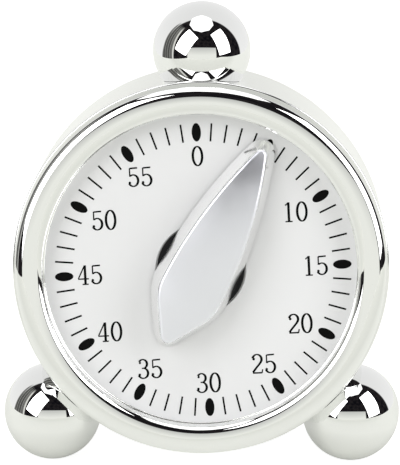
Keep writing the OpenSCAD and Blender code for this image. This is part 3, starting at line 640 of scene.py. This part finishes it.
def knob_ring(knob, grow, level, narrow=1.0, sink=0.0, crown=0.0):
    """Closed ring of the knob's outline at a level, narrowed towards its middle line.

    The ring sinks towards the tip, and the crown lifts it where the knob is wide.
    """
    half = knob_half(knob, grow)
    points = half + [Vector((point.x, -point.y)) for point in reversed(half[1:-1])]
    turn = Matrix.Rotation(POINTER_ANGLE, 3, "Z")
    ring = []
    for point in points:
        fall = sink * max(0.0, point.x / knob.tip_reach) ** 3
        rise = crown * (point.y / knob.half_width) ** 2 * (1 - narrow ** 2)
        ring.append(turn @ Vector((point.x, point.y * narrow, level - fall + rise)))
    return ring


def knob_rings(knob):
    """Rings of the cap from the middle of its ceiling, down its inside, up its flank and over its crown."""
    base, foot = CAP.back, knob.foot_round
    inner = knob.flare - knob.foot_round - knob.wall
    ceiling = knob.edge_height - knob.wall
    rings = [knob_ring(knob, inner, ceiling, narrow, knob.tip_drop) for narrow in (0.0, 0.5, 1.0)]
    rings.append(knob_ring(knob, inner, base))
    for step in range(5):
        turn = math.radians(22.5 * step)
        grow = knob.flare - foot * (1 - math.sin(turn))
        rings.append(knob_ring(knob, grow, base + foot * (1 - math.cos(turn))))
    round_start = knob.edge_height - knob.edge_round
    for step in (0.02, 0.2, 0.4, 0.6, 0.8, 0.98):
        rise = base + foot + (round_start - base - foot) * step
        grow = knob.flare * (1 - step)
        rings.append(knob_ring(knob, grow, rise, sink=knob.tip_drop * step))
    for step in range(11):
        turn = math.radians(9 * step)
        grow = -knob.edge_round * (1 - math.cos(turn))
        level = round_start + knob.edge_round * math.sin(turn)
        rings.append(knob_ring(knob, grow, level, sink=knob.tip_drop))
    crown = CAP.front - knob.edge_height
    for step in range(1, 21):
        narrow = 1 - step / 20
        rings.append(knob_ring(knob, -knob.edge_round, knob.edge_height, narrow, knob.tip_drop, crown))
    return rings


def core_rings(knob):
    """Rings of the core's body from the middle of its underside to the middle of its top."""
    side = knob.flare - knob.foot_round - knob.wall - knob.core_gap
    top = knob.edge_height - knob.wall - knob.core_gap
    low = [knob_ring(knob, side - CORE_EDGE, CAP.back, narrow) for narrow in (0.0, 0.5, 1.0)]
    low.append(knob_ring(knob, side, CAP.back + CORE_EDGE))
    high = [knob_ring(knob, side, top - CORE_EDGE, sink=knob.tip_drop)]
    high += [knob_ring(knob, side - CORE_EDGE, top, narrow, knob.tip_drop) for narrow in (1.0, 0.5, 0.0)]
    return low + high


def core_outline(knob):
    """Section of the core's flange and neck round the main arbor."""
    flange_front = CAP.back - FLANGE_DROP
    neck_front = CAP.back + NECK_RISE
    rim = CORE_FLANGE - FLANGE_EDGE
    return (
        [Vector((knob.arbor, CORE.back)), Vector((rim, CORE.back))]
        + arc((rim, CORE.back + FLANGE_EDGE), FLANGE_EDGE, -90, 0, 4)
        + arc((rim, flange_front - FLANGE_EDGE), FLANGE_EDGE, 0, 90, 4)
        + [Vector((knob.neck, flange_front)), Vector((knob.neck, neck_front))]
        + [Vector((knob.arbor, neck_front))]
    )


# ---------- numerals ----------

# How far the printer set some numerals off their circle, to the right and up, in millimetres
OFF_CIRCLE = {
    0: (0, 0.6), 10: (-0.55, -0.25), 20: (-0.55, -0.4), 30: (0, -0.4), 35: (-0.4, 0), 40: (0.2, -0.35),
    45: (-0.22, 0.18), 50: (0.2, -0.2), 55: (-0.4, 0),
}
# The digits are drawn from a base line at 0 to TOP, with half strokes from THIN to THICK
THIN = 0.125
THICK = 0.235
TOP = 3.8


def pen_half_width(along):
    """Half the width that a broad pen leaves: full on upright strokes and fine on level ones."""
    upright = abs(along.y) / max(along.length, 1e-9)
    return THIN + (THICK - THIN) * upright ** 1.6


def stroke(points, fixed=None):
    """Quads along a line of points, as wide as the pen leaves them or of a fixed half width."""
    sides = []
    for place in range(len(points)):
        along = points[min(place + 1, len(points) - 1)] - points[max(place - 1, 0)]
        half = fixed or pen_half_width(along)
        across = Vector((-along.y, along.x)).normalized() * half
        sides.append((points[place] + across, points[place] - across))
    return [[a[0], a[1], b[1], b[0]] for a, b in zip(sides, sides[1:])]


def oval(middle, half_width, half_height, start, end, steps=28):
    """Points along part of an ellipse, angles in degrees."""
    turns = [math.radians(start + (end - start) * step / steps) for step in range(steps + 1)]
    x, y = middle
    return [Vector((x + half_width * math.cos(turn), y + half_height * math.sin(turn))) for turn in turns]


def dot(middle, radius):
    """Round terminal of a stroke."""
    return [arc(middle, radius, 0, 345, 23)]


def line(*points, half):
    """Straight strokes of an even half width."""
    return stroke([Vector(point) for point in points], half)


def bow(points, steps=24):
    """Smooth curve through four control points."""
    start, first, second, end = (Vector(point) for point in points)
    curve = []
    for step in range(steps + 1):
        t = step / steps
        curve.append(
            start * (1 - t) ** 3 + first * 3 * t * (1 - t) ** 2 + second * 3 * t * t * (1 - t) + end * t ** 3
        )
    return curve


def digit_0():
    """Tall oval, heavy at its sides."""
    return stroke(oval((0, 1.9), 0.88, 1.82, 0, 360, 56))


def digit_1():
    """Upright stem with a small flag and a fine foot."""
    flag = line((-0.62, 3.18), (-0.1, 3.62), half=THIN)
    return line((0, 0.05), (0, 3.78), half=THICK) + flag + line((-0.68, 0.075), (0.68, 0.075), half=THIN)


def digit_2():
    """Round head, long diagonal and a wavy foot."""
    head = oval((0, 2.78), 0.86, 0.95, 165, 0, 26)
    head += bow([(0.86, 2.78), (0.86, 2.1), (0.0, 1.5), (-0.86, 0.3)])[1:]
    foot = line((-0.92, 0.15), (0.85, 0.15), half=0.15) + line((0.85, 0.1), (1.0, 0.82), half=THIN)
    return stroke(head) + dot((-0.64, 2.86), 0.25) + foot


def digit_3():
    """Two bows with round terminals."""
    upper = oval((-0.06, 2.87), 0.78, 0.86, 150, -80, 30)
    lower = oval((-0.08, 1.06), 0.93, 0.99, 85, -158, 32)
    waist = line((-0.3, 2.02), (0.1, 2.03), half=THIN)
    return stroke(upper) + stroke(lower) + waist + dot((-0.62, 3.08), 0.22) + dot((-0.76, 0.78), 0.25)


def digit_4():
    """Fine diagonal and crossbar with a heavy stem."""
    stem = line((0.36, 0.05), (0.36, 3.74), half=THICK)
    cross = line((-1.02, 1.12), (1.02, 1.12), half=THIN)
    slant = line((-0.98, 1.15), (0.3, 3.7), half=THIN)
    return stem + cross + slant + line((-0.22, 0.075), (0.94, 0.075), half=THIN)


def digit_5():
    """Rising flag, fine stem and a round bowl."""
    flag = line((-0.66, 3.55), (0.78, 3.62), half=0.15)
    stem = line((-0.68, 3.6), (-0.7, 1.98), half=THIN)
    bowl = oval((-0.06, 1.2), 0.92, 1.1, 128, -152, 34)
    return flag + stem + stroke(bowl) + dot((-0.74, 0.8), 0.25)


DIGITS = {"0": digit_0, "1": digit_1, "2": digit_2, "3": digit_3, "4": digit_4, "5": digit_5}


def merged_plate(polygons, low, high):
    """Vertices and faces of a flat plate whose outline is the union of the polygons."""
    corners = []
    faces = []
    for polygon in polygons:
        faces.append(list(range(len(corners), len(corners) + len(polygon))))
        corners.extend(Vector(corner) for corner in polygon)
    points, _, areas, _, _, origins = delaunay_2d_cdt(corners, [], faces, 1, 1e-7)
    inked = [area for area, origin in zip(areas, origins) if origin]
    used = dict.fromkeys(side for area in inked for side in zip(area, area[1:] + area[:1]))
    count = len(points)
    vertices = [(p.x, p.y, high) for p in points] + [(p.x, p.y, low) for p in points]
    top = [tuple(area) for area in inked]
    bottom = [tuple(corner + count for corner in reversed(area)) for area in inked]
    rim = [(start, start + count, end + count, end) for start, end in used if (end, start) not in used]
    return vertices, top + bottom + rim


# ---------- repeated marks ----------


def mark_tree(name, material):
    """Node group that sets marks round the dial: one form on every step, or on all but every step."""
    group = bpy.data.node_groups.new(name, "GeometryNodeTree")
    face = group.interface
    face.new_socket("Geometry", in_out="OUTPUT", socket_type="NodeSocketGeometry")
    for kind, labels in (
        ("Int", ("Count", "Step")),
        ("Bool", ("Pick", "Round")),
        ("Float", ("Radius", "Length", "Width", "Height", "Turn")),
    ):
        for label in labels:
            face.new_socket(label, in_out="INPUT", socket_type=f"NodeSocket{kind}")
    tree = Tree(group)
    given = tree.add("NodeGroupInput").outputs
    index = tree.add("GeometryNodeInputIndex").outputs[0]
    turn = tree.math("DIVIDE", tree.math("MULTIPLY", index, math.tau), given["Count"])
    turn = tree.math("ADD", turn, given["Turn"])
    place = tree.add("ShaderNodeCombineXYZ", {
        "X": tree.math("MULTIPLY", tree.math("COSINE", turn), given["Radius"]),
        "Y": tree.math("MULTIPLY", tree.math("SINE", turn), given["Radius"]),
    })
    points = tree.add("GeometryNodePoints", {"Count": given["Count"], "Position": place.outputs[0]})
    on_step = tree.math("COMPARE", tree.math("MODULO", index, given["Step"]), 0.0, 0.5)
    wanted = tree.math("COMPARE", on_step, given["Pick"], 0.5)
    oblong = tree.add("GeometryNodeMeshCircle", {"Vertices": 40, "Radius": 0.5}, fill_type="NGON")
    unit = {"Size X": 1.0, "Size Y": 1.0, "Vertices X": 2, "Vertices Y": 2}
    square = tree.add("GeometryNodeMeshGrid", unit)
    either = {"Switch": given["Round"], "False": square.outputs["Mesh"], "True": oblong.outputs["Mesh"]}
    form = tree.add("GeometryNodeSwitch", either, input_type="GEOMETRY")
    size = tree.add("ShaderNodeCombineXYZ", {"X": given["Length"], "Y": given["Width"], "Z": 1.0})
    shaped = tree.add("GeometryNodeTransform", {"Geometry": form.outputs[0], "Scale": size.outputs[0]})
    solid = tree.add("GeometryNodeExtrudeMesh", {
        "Mesh": shaped.outputs[0], "Offset Scale": given["Height"], "Individual": False})
    closed = tree.add("GeometryNodeFlipFaces", {"Mesh": shaped.outputs[0]})
    joined = tree.add("GeometryNodeJoinGeometry")
    tree.links.new(closed.outputs[0], joined.inputs[0])
    tree.links.new(solid.outputs["Mesh"], joined.inputs[0])
    merged = tree.add("GeometryNodeMergeByDistance", {"Geometry": joined.outputs[0], "Distance": 1e-7})
    heading = tree.add("ShaderNodeCombineXYZ", {"Z": turn})
    set_out = tree.add("GeometryNodeInstanceOnPoints", {
        "Points": points.outputs[0], "Selection": wanted, "Instance": merged.outputs[0],
        "Rotation": heading.outputs[0]})
    real = tree.add("GeometryNodeRealizeInstances", {"Geometry": set_out.outputs[0]})
    inked = tree.add("GeometryNodeSetMaterial", {"Geometry": real.outputs[0], "Material": material})
    tree.add("NodeGroupOutput", {0: inked.outputs[0]})
    return group


def grown_mesh(name, group, values):
    """Plain mesh that the node group makes with those values, in the case's axes."""
    holder = placed(name, bpy.data.meshes.new(name))
    modifier = holder.modifiers.new(name, "NODES")
    modifier.node_group = group
    for item in group.interface.items_tree:
        if item.in_out == "INPUT" and item.name in values:
            modifier[item.identifier] = values[item.name]
    evaluated = holder.evaluated_get(bpy.context.evaluated_depsgraph_get())
    mesh = bpy.data.meshes.new_from_object(evaluated)
    holder.modifiers.remove(modifier)
    bpy.data.objects.remove(holder)
    mesh.name = name
    return mesh


# ---------- studio ----------


def heading(azimuth, elevation):
    """Unit vector from the timer: azimuth 0 is in front and grows to the right, both in degrees."""
    across, over = math.radians(azimuth), math.radians(elevation)
    return Vector((math.sin(across) * math.cos(over), -math.cos(across) * math.cos(over), math.sin(over)))


def card_axes(azimuth, elevation, roll):
    """Middle, right and upward directions of a flat card that faces the timer."""
    middle = heading(azimuth, elevation)
    right = Vector((0, 0, 1)).cross(middle).normalized()
    over = middle.cross(right)
    turn = Matrix.Rotation(math.radians(roll), 3, middle)
    return middle, turn @ right, turn @ over


def card_mask(tree, way, azimuth, elevation, width, height, roll=0.0, corners=False, soft=0.012):
    """Output that is 1 where a direction meets a flat card, and 0 elsewhere. Sizes are in degrees."""
    middle, right, over = card_axes(azimuth, elevation, roll)
    ahead = tree.dot(way, middle)
    safe = tree.math("MAXIMUM", ahead, 0.001)
    across = tree.math("ABSOLUTE", tree.math("DIVIDE", tree.dot(way, right), safe))
    upward = tree.math("ABSOLUTE", tree.math("DIVIDE", tree.dot(way, over), safe))
    across = tree.math("DIVIDE", across, math.tan(math.radians(width / 2)))
    upward = tree.math("DIVIDE", upward, math.tan(math.radians(height / 2)))
    reach = tree.math("MAXIMUM", across, upward)
    if corners:
        slanted = tree.math("MULTIPLY", tree.math("ADD", across, upward), math.sqrt(0.5))
        reach = tree.math("MAXIMUM", reach, slanted)
    inside = tree.ramp(reach, 1 - soft, 1 + soft, 1.0, 0.0)
    return tree.math("MULTIPLY", inside, tree.math("GREATER_THAN", ahead, 0.001))


# Upright strips of the cluttered left side: azimuth and width in degrees, and tone
STRIPS = (
    (-99, 4, 0.16), (-94, 2, 0.3), (-90, 3, 0.12), (-86.5, 1.6, 0.34), (-83, 3, 0.1), (-79.5, 2, 0.3),
    (-75.5, 4, 0.18), (-70.5, 4.5, 0.72),
)


# How bright the white sweep is low down and high up, as shares of its setting
SWEEP_LOW, SWEEP_HIGH = 1.06, 0.92
# The dark room in shade and where things stand in it, and the card in front, low and high
SHADE, CLUTTER = (0.004, 0.004, 0.006), (0.035, 0.03, 0.03)
CARD_LOW, CARD_HIGH = (0.87, 0.88, 0.83), (0.56, 0.57, 0.55)
# Name, azimuth, elevation, width, height and roll of the softboxes, in degrees
SOFTBOXES = (
    ("left_softbox", -41, 27.5, 33.6, 50.6, -23),
    ("right_softbox", 55, 25.6, 31.4, 51, 6),
)


def studio_world(studio):
    """White sweep round the back, a dark room in front with its lights, and plain white behind the timer."""
    world = bpy.data.worlds.new("studio")
    tree = empty_tree(world)
    way = tree.add("ShaderNodeTexCoord").outputs["Generated"]
    back = tree.dot(way, (0, 1, 0))
    over = tree.dot(way, (0, 0, 1))
    limit = tree.math("MULTIPLY_ADD", over, -0.2, 0.2)
    room = tree.ramp(tree.math("SUBTRACT", back, limit), -0.02, 0.02, 1.0, 0.0)
    clutter = tree.noise(way, 7.0, detail=5.0, roughness=0.7)
    dark = tree.blend(tree.ramp(clutter, 0.4, 0.75, 0.0, 1.0), opaque(SHADE), opaque(CLUTTER))
    glow = tree.ramp(over, -0.2, 1.0, studio.sweep * SWEEP_LOW, studio.sweep * SWEEP_HIGH)
    sweep = tree.add("ShaderNodeCombineColor", {"Red": glow, "Green": glow, "Blue": glow}).outputs[0]
    shown = tree.blend(room, sweep, dark)
    for azimuth, width, tone in STRIPS:
        strip = card_mask(tree, way, azimuth, elevation=14, width=width, height=70, soft=0.2)
        shown = tree.blend(strip, shown, opaque((tone, tone, 0.95 * tone)))
    card_tone = tree.blend(tree.ramp(over, 0.0, 0.3, 0.0, 1.0), opaque(CARD_LOW), opaque(CARD_HIGH))
    shown = tree.blend(card_mask(tree, way, azimuth=1.5, elevation=0, width=68, height=36), shown, card_tone)
    octagon = card_mask(tree, way, azimuth=0, elevation=78, width=44, height=44, roll=22.5, corners=True)
    shown = tree.blend(octagon, shown, opaque([studio.octagon] * 3))
    direct = tree.add("ShaderNodeLightPath").outputs["Is Camera Ray"]
    shown = tree.blend(direct, shown, opaque((1, 1, 1)))
    background = tree.add("ShaderNodeBackground", {"Color": shown})
    tree.add("ShaderNodeOutputWorld", {"Surface": background.outputs[0]})
    bpy.context.scene.world = world


def softbox(name, azimuth, elevation, width, height, roll, brightness, distance=1.4):
    """Rectangular softbox facing the timer. Sizes are in degrees as the timer sees them."""
    middle, right, over = card_axes(azimuth, elevation, roll)
    light = bpy.data.lights.new(name, "AREA")
    light.shape = "RECTANGLE"
    light.size = 2 * distance * math.tan(math.radians(width / 2))
    light.size_y = 2 * distance * math.tan(math.radians(height / 2))
    light.energy = brightness * math.pi * light.size * light.size_y
    lamp = placed(name, light)
    turn = Matrix((right, over, middle)).transposed().to_4x4()
    aim = (cad_box[0] + cad_box[1]) / 2
    lamp.matrix_world = Matrix.Translation(aim + middle * distance) @ turn
    lamp.visible_camera = False


# How the table's painted light changes along y, and its painted shadow round the feet: from, to, level at the
# start and at the end
TABLE_BEHIND = (-0.02, 0.4, 0.34, 0.46)
TABLE_FRONT = (-0.12, -0.03, 0.6, 1.0)
FOOT_SHADOW = (0.002, 0.022, 0.55, 1.0)
# The paper's grey, its green and its blue beside that, and its own light as the camera sees it
PAPER_GREY, PAPER_GREEN, PAPER_BLUE = 0.55, 1.02, 0.93
CAMERA_GLOW = 0.45


def floor_material():
    """White paper that glows to the camera, and whose painted glow the chrome sees with painted shade in
    front and a painted shadow at the feet.
    """
    material = bpy.data.materials.new("white_paper")
    tree = empty_tree(material)
    place = tree.add("ShaderNodeTexCoord").outputs["Object"]
    fibre = tree.ramp(tree.noise(place, 900.0, detail=3.0), 0.3, 0.7, 0.985, 1.0)
    direct = tree.add("ShaderNodeLightPath").outputs["Is Camera Ray"]
    right, back = tree.dot(place, (1, 0, 0)), tree.dot(place, (0, 1, 0))
    foot_right = tree.math("SUBTRACT", tree.math("ABSOLUTE", right), FOOT.x)
    foot_back = tree.math("SUBTRACT", back, FOOT.y)
    foot_spot = tree.add("ShaderNodeCombineXYZ", {"X": foot_right, "Y": foot_back}).outputs[0]
    away = tree.add("ShaderNodeVectorMath", {"Vector": foot_spot}, operation="LENGTH").outputs["Value"]
    # Painted shadow round the feet and painted shade in front, which the camera doesn't see
    shade = tree.math("MULTIPLY", tree.ramp(away, *FOOT_SHADOW), tree.ramp(back, *TABLE_FRONT))
    seen = tree.math("MULTIPLY", tree.ramp(back, *TABLE_BEHIND), tree.math("MAXIMUM", shade, direct))
    level = tree.math("MULTIPLY", fibre, PAPER_GREY)
    green = tree.math("MULTIPLY", level, PAPER_GREEN)
    blue = tree.math("MULTIPLY", level, tree.ramp(direct, 0.0, 1.0, PAPER_BLUE, 1.0))
    paper = tree.add("ShaderNodeCombineColor", {"Red": level, "Green": green, "Blue": blue}).outputs[0]
    shader = tree.add("ShaderNodeBsdfDiffuse", {"Color": paper})
    strength = tree.math("MULTIPLY_ADD", direct, CAMERA_GLOW, seen)
    glow = tree.add("ShaderNodeEmission", {"Strength": strength})
    both = tree.add("ShaderNodeAddShader", {0: shader.outputs[0], 1: glow.outputs[0]})
    tree.add("ShaderNodeOutputMaterial", {"Surface": both.outputs[0]})
    return material


# ---------- operators ----------


def turned_piece(name, outline, material, node, sharp=35):
    """Turns the outline round the dial's axis into a piece of the case, in place of the CAD node."""
    mesh = clean_mesh(name, *lathe(supported(outline)), sharp)
    finish_piece(mesh, "case", named_finish(material), [node])


class TIMER_OT_drum(bpy.types.Operator):
    """Turn the drum case from its section"""

    bl_idname = "timer.drum"
    bl_label = "Drum Case"

    def execute(self, context):
        outline = drum_outline(context.scene.timer_case)
        turned_piece("drum_case", outline, "turned_chrome", "drum_shell")
        return {"FINISHED"}


class TIMER_OT_bezel(bpy.types.Operator):
    """Turn the deep bezel from its section"""

    bl_idname = "timer.bezel"
    bl_label = "Bezel"

    def execute(self, context):
        outline = bezel_outline(context.scene.timer_case)
        turned_piece("bezel_ring", outline, "polished_chrome", "bezel")
        return {"FINISHED"}


class TIMER_OT_balls(bpy.types.Operator):
    """Build the ball on top and the two ball feet, saddled to the drum and bored for their screws"""

    bl_idname = "timer.balls"
    bl_label = "Balls"

    def execute(self, context):
        case = context.scene.timer_case
        for node in ("top_ball", "left_ball", "right_ball"):
            rings = Ball(node).rings(case.ball_bore, case.ball_bore_depth)
            mesh = clean_mesh(f"chrome_{node}", *capped(rings))
            finish_piece(mesh, "case", named_finish("mirror_chrome"), [node])
        return {"FINISHED"}


class TIMER_OT_dial(bpy.types.Operator):
    """Turn the dial plate with a rounded edge at its hole"""

    bl_idname = "timer.dial"
    bl_label = "Dial Plate"

    def execute(self, context):
        outline = dial_outline(context.scene.timer_dial)
        turned_piece("dial_face", outline, "dial_lacquer", "dial_plate", sharp=50)
        return {"FINISHED"}


class TIMER_OT_marks(bpy.types.Operator):
    """Print the minute ticks and the five-minute ovals round the dial"""

    bl_idname = "timer.marks"
    bl_label = "Dial Marks"

    def execute(self, context):
        dial = context.scene.timer_dial
        group = mark_tree("dial_marks", named_finish("dial_ink"))
        common = {"Count": dial.minutes, "Step": 5, "Radius": dial.mark_radius, "Height": 2 * dial.ink_height,
                  "Turn": math.pi / 2 + dial.turn}
        ticks = {"Pick": False, "Round": False, "Length": dial.tick_length, "Width": dial.tick_width}
        ovals = {"Pick": True, "Round": True, "Length": dial.oval_length, "Width": dial.oval_width}
        sunk = CASE @ Matrix.Translation((dial.off_right, dial.off_up, -dial.ink_height))
        for name, values in (("minute_ticks", ticks), ("five_minute_ovals", ovals)):
            mesh = grown_mesh(name, group, {**common, **values})
            mesh.transform(sunk)
            finish_piece(mesh, "case", named_finish("dial_ink"))
        return {"FINISHED"}


class TIMER_OT_numerals(bpy.types.Operator):
    """Print the numerals, drawn with a broad pen, at every five minutes"""

    bl_idname = "timer.numerals"
    bl_label = "Numerals"

    def execute(self, context):
        dial = context.scene.timer_dial
        size = dial.digit_height / TOP
        ink = dial.ink_height
        glyphs = {digit: merged_plate(draw(), -ink, ink) for digit, draw in DIGITS.items()}
        print_place = Matrix.Translation((dial.off_right, dial.off_up, 0))
        print_place @= Matrix.Rotation(dial.turn, 4, "Z")
        vertices = []
        faces = []
        for minutes in range(0, dial.minutes, 5):
            middle = polar(dial.numeral_radius, math.pi / 2 - minutes * math.tau / dial.minutes)
            middle += Vector(OFF_CIRCLE.get(minutes, (0, 0))) * MM
            text = str(minutes)
            for place, digit in enumerate(text):
                shift = (place - (len(text) - 1) / 2) * dial.digit_pitch
                points, areas = glyphs[digit]
                start = len(vertices)
                for x, y, z in points:
                    spot = Vector((middle.x + shift + x * size, middle.y + (y - TOP / 2) * size, z))
                    vertices.append(print_place @ spot)
                faces.extend(tuple(start + corner for corner in area) for area in areas)
        mesh = clean_mesh("dial_numerals", vertices, faces)
        finish_piece(mesh, "case", named_finish("dial_ink"))
        return {"FINISHED"}


class TIMER_OT_knob(bpy.types.Operator):
    """Loft the pointer knob's hollow metal cap over its black core"""

    bl_idname = "timer.knob"
    bl_label = "Pointer Knob"

    def execute(self, context):
        knob = context.scene.timer_knob
        cap = clean_mesh("knob_metal_cap", *loft(knob_rings(knob)), sharp=50)
        finish_piece(cap, "pointer", named_finish("satin_silver"), ["knob_cap"])
        body, body_faces = loft(core_rings(knob))
        neck, neck_faces = lathe(core_outline(knob), 144)
        neck_faces = [tuple(len(body) + corner for corner in face) for face in neck_faces]
        core = clean_mesh("knob_black_core", body + neck, body_faces + neck_faces, sharp=50)
        finish_piece(core, "pointer", named_finish("black_plastic"), ["knob_core"])
        return {"FINISHED"}


# The bell's slot isn't here, because the bell keeps the bronze that the frame gives it
FINISH_OF_SLOT = {
    "case_chrome": "polished_chrome",
    "ball_chrome": "mirror_chrome",
    "dial_white": "dial_lacquer",
    "carrier_steel": "pressed_steel",
    "knob_silver": "satin_silver",
    "knob_black": "black_plastic",
    "spring_steel": "blued_steel",
    "movement_brass": "rolled_brass",
    "screw_steel": "ground_steel",
    "arbor_steel": "ground_steel",
}


class TIMER_OT_movement(bpy.types.Operator):
    """Give the carried-over pieces of the frame the finish of their slot"""

    bl_idname = "timer.movement"
    bl_label = "Movement Finishes"

    def execute(self, context):
        for node in frame["nodes"].values():
            for place in node.material_slots:
                if place.material.name in FINISH_OF_SLOT:
                    place.material = named_finish(FINISH_OF_SLOT[place.material.name])
        return {"FINISHED"}


class TIMER_OT_stage(bpy.types.Operator):
    """Set up the floor, the studio light and the camera"""

    bl_idname = "timer.stage"
    bl_label = "Stage"

    def execute(self, context):
        studio = context.scene.timer_studio
        context.scene.view_settings.view_transform = "Standard"
        studio_world(studio)
        for values in SOFTBOXES:
            softbox(*values, studio.softbox)
        self.add_floor()
        self.add_camera(studio)
        return {"FINISHED"}

    def add_floor(self):
        """White table top, with its front edge half a metre before the timer."""
        left, right, front, rear = -0.36, 0.55, -0.53, 3.0
        mesh = bpy.data.meshes.new("table_top")
        corners = [(left, front, 0), (right, front, 0), (right, rear, 0), (left, rear, 0)]
        mesh.from_pydata(corners, [], [(0, 1, 2, 3)])
        mesh.materials.append(floor_material())
        placed("table_top", mesh)

    def add_camera(self, studio):
        """Camera in front of the dial, a little over its axis."""
        pitch, yaw = studio.pitch, studio.yaw
        right = Vector((math.cos(yaw), 0, math.sin(yaw)))
        ahead = Vector((math.sin(yaw) * math.cos(pitch), -math.sin(pitch), -math.cos(yaw) * math.cos(pitch)))
        over = right.cross(ahead)
        turn = Matrix((right, over, -ahead)).transposed().to_4x4()
        spot = Vector((studio.aim_right, studio.aim_up, 0)) - ahead * studio.distance
        data = bpy.data.cameras.new("studio_camera")
        data.lens = studio.lens
        data.clip_start = 0.05
        camera = placed("studio_camera", data)
        camera.matrix_world = CASE @ Matrix.Translation(spot) @ turn
        bpy.context.scene.camera = camera


OPERATORS = (
    TIMER_OT_drum,
    TIMER_OT_bezel,
    TIMER_OT_balls,
    TIMER_OT_dial,
    TIMER_OT_marks,
    TIMER_OT_numerals,
    TIMER_OT_knob,
    TIMER_OT_movement,
    TIMER_OT_stage,
)


class TIMER_PT_panel(bpy.types.Panel):
    """Panel that lists the timer's settings and pieces."""

    bl_idname = "TIMER_PT_panel"
    bl_label = "Desk Timer"
    bl_space_type = "VIEW_3D"
    bl_region_type = "UI"
    bl_category = "Timer"

    def draw(self, context):
        for name, group in SETTINGS.items():
            box = self.layout.box()
            for entry in group.__annotations__:
                box.prop(getattr(context.scene, name), entry, text=entry.replace("_", " ").capitalize())
        for operator in OPERATORS:
            self.layout.operator(operator.bl_idname)


def register():
    for name, group in SETTINGS.items():
        bpy.utils.register_class(group)
        setattr(bpy.types.Scene, name, PointerProperty(type=group))
    for item in (*OPERATORS, TIMER_PT_panel):
        bpy.utils.register_class(item)


def unregister():
    for item in (TIMER_PT_panel, *reversed(OPERATORS)):
        bpy.utils.unregister_class(item)
    for name, group in SETTINGS.items():
        delattr(bpy.types.Scene, name)
        bpy.utils.unregister_class(group)


def main():
    """Builds every piece and the stage."""
    register()
    for operator in OPERATORS:
        getattr(bpy.ops.timer, operator.bl_idname.split(".")[1])()


if __name__ == "__main__":
    main()
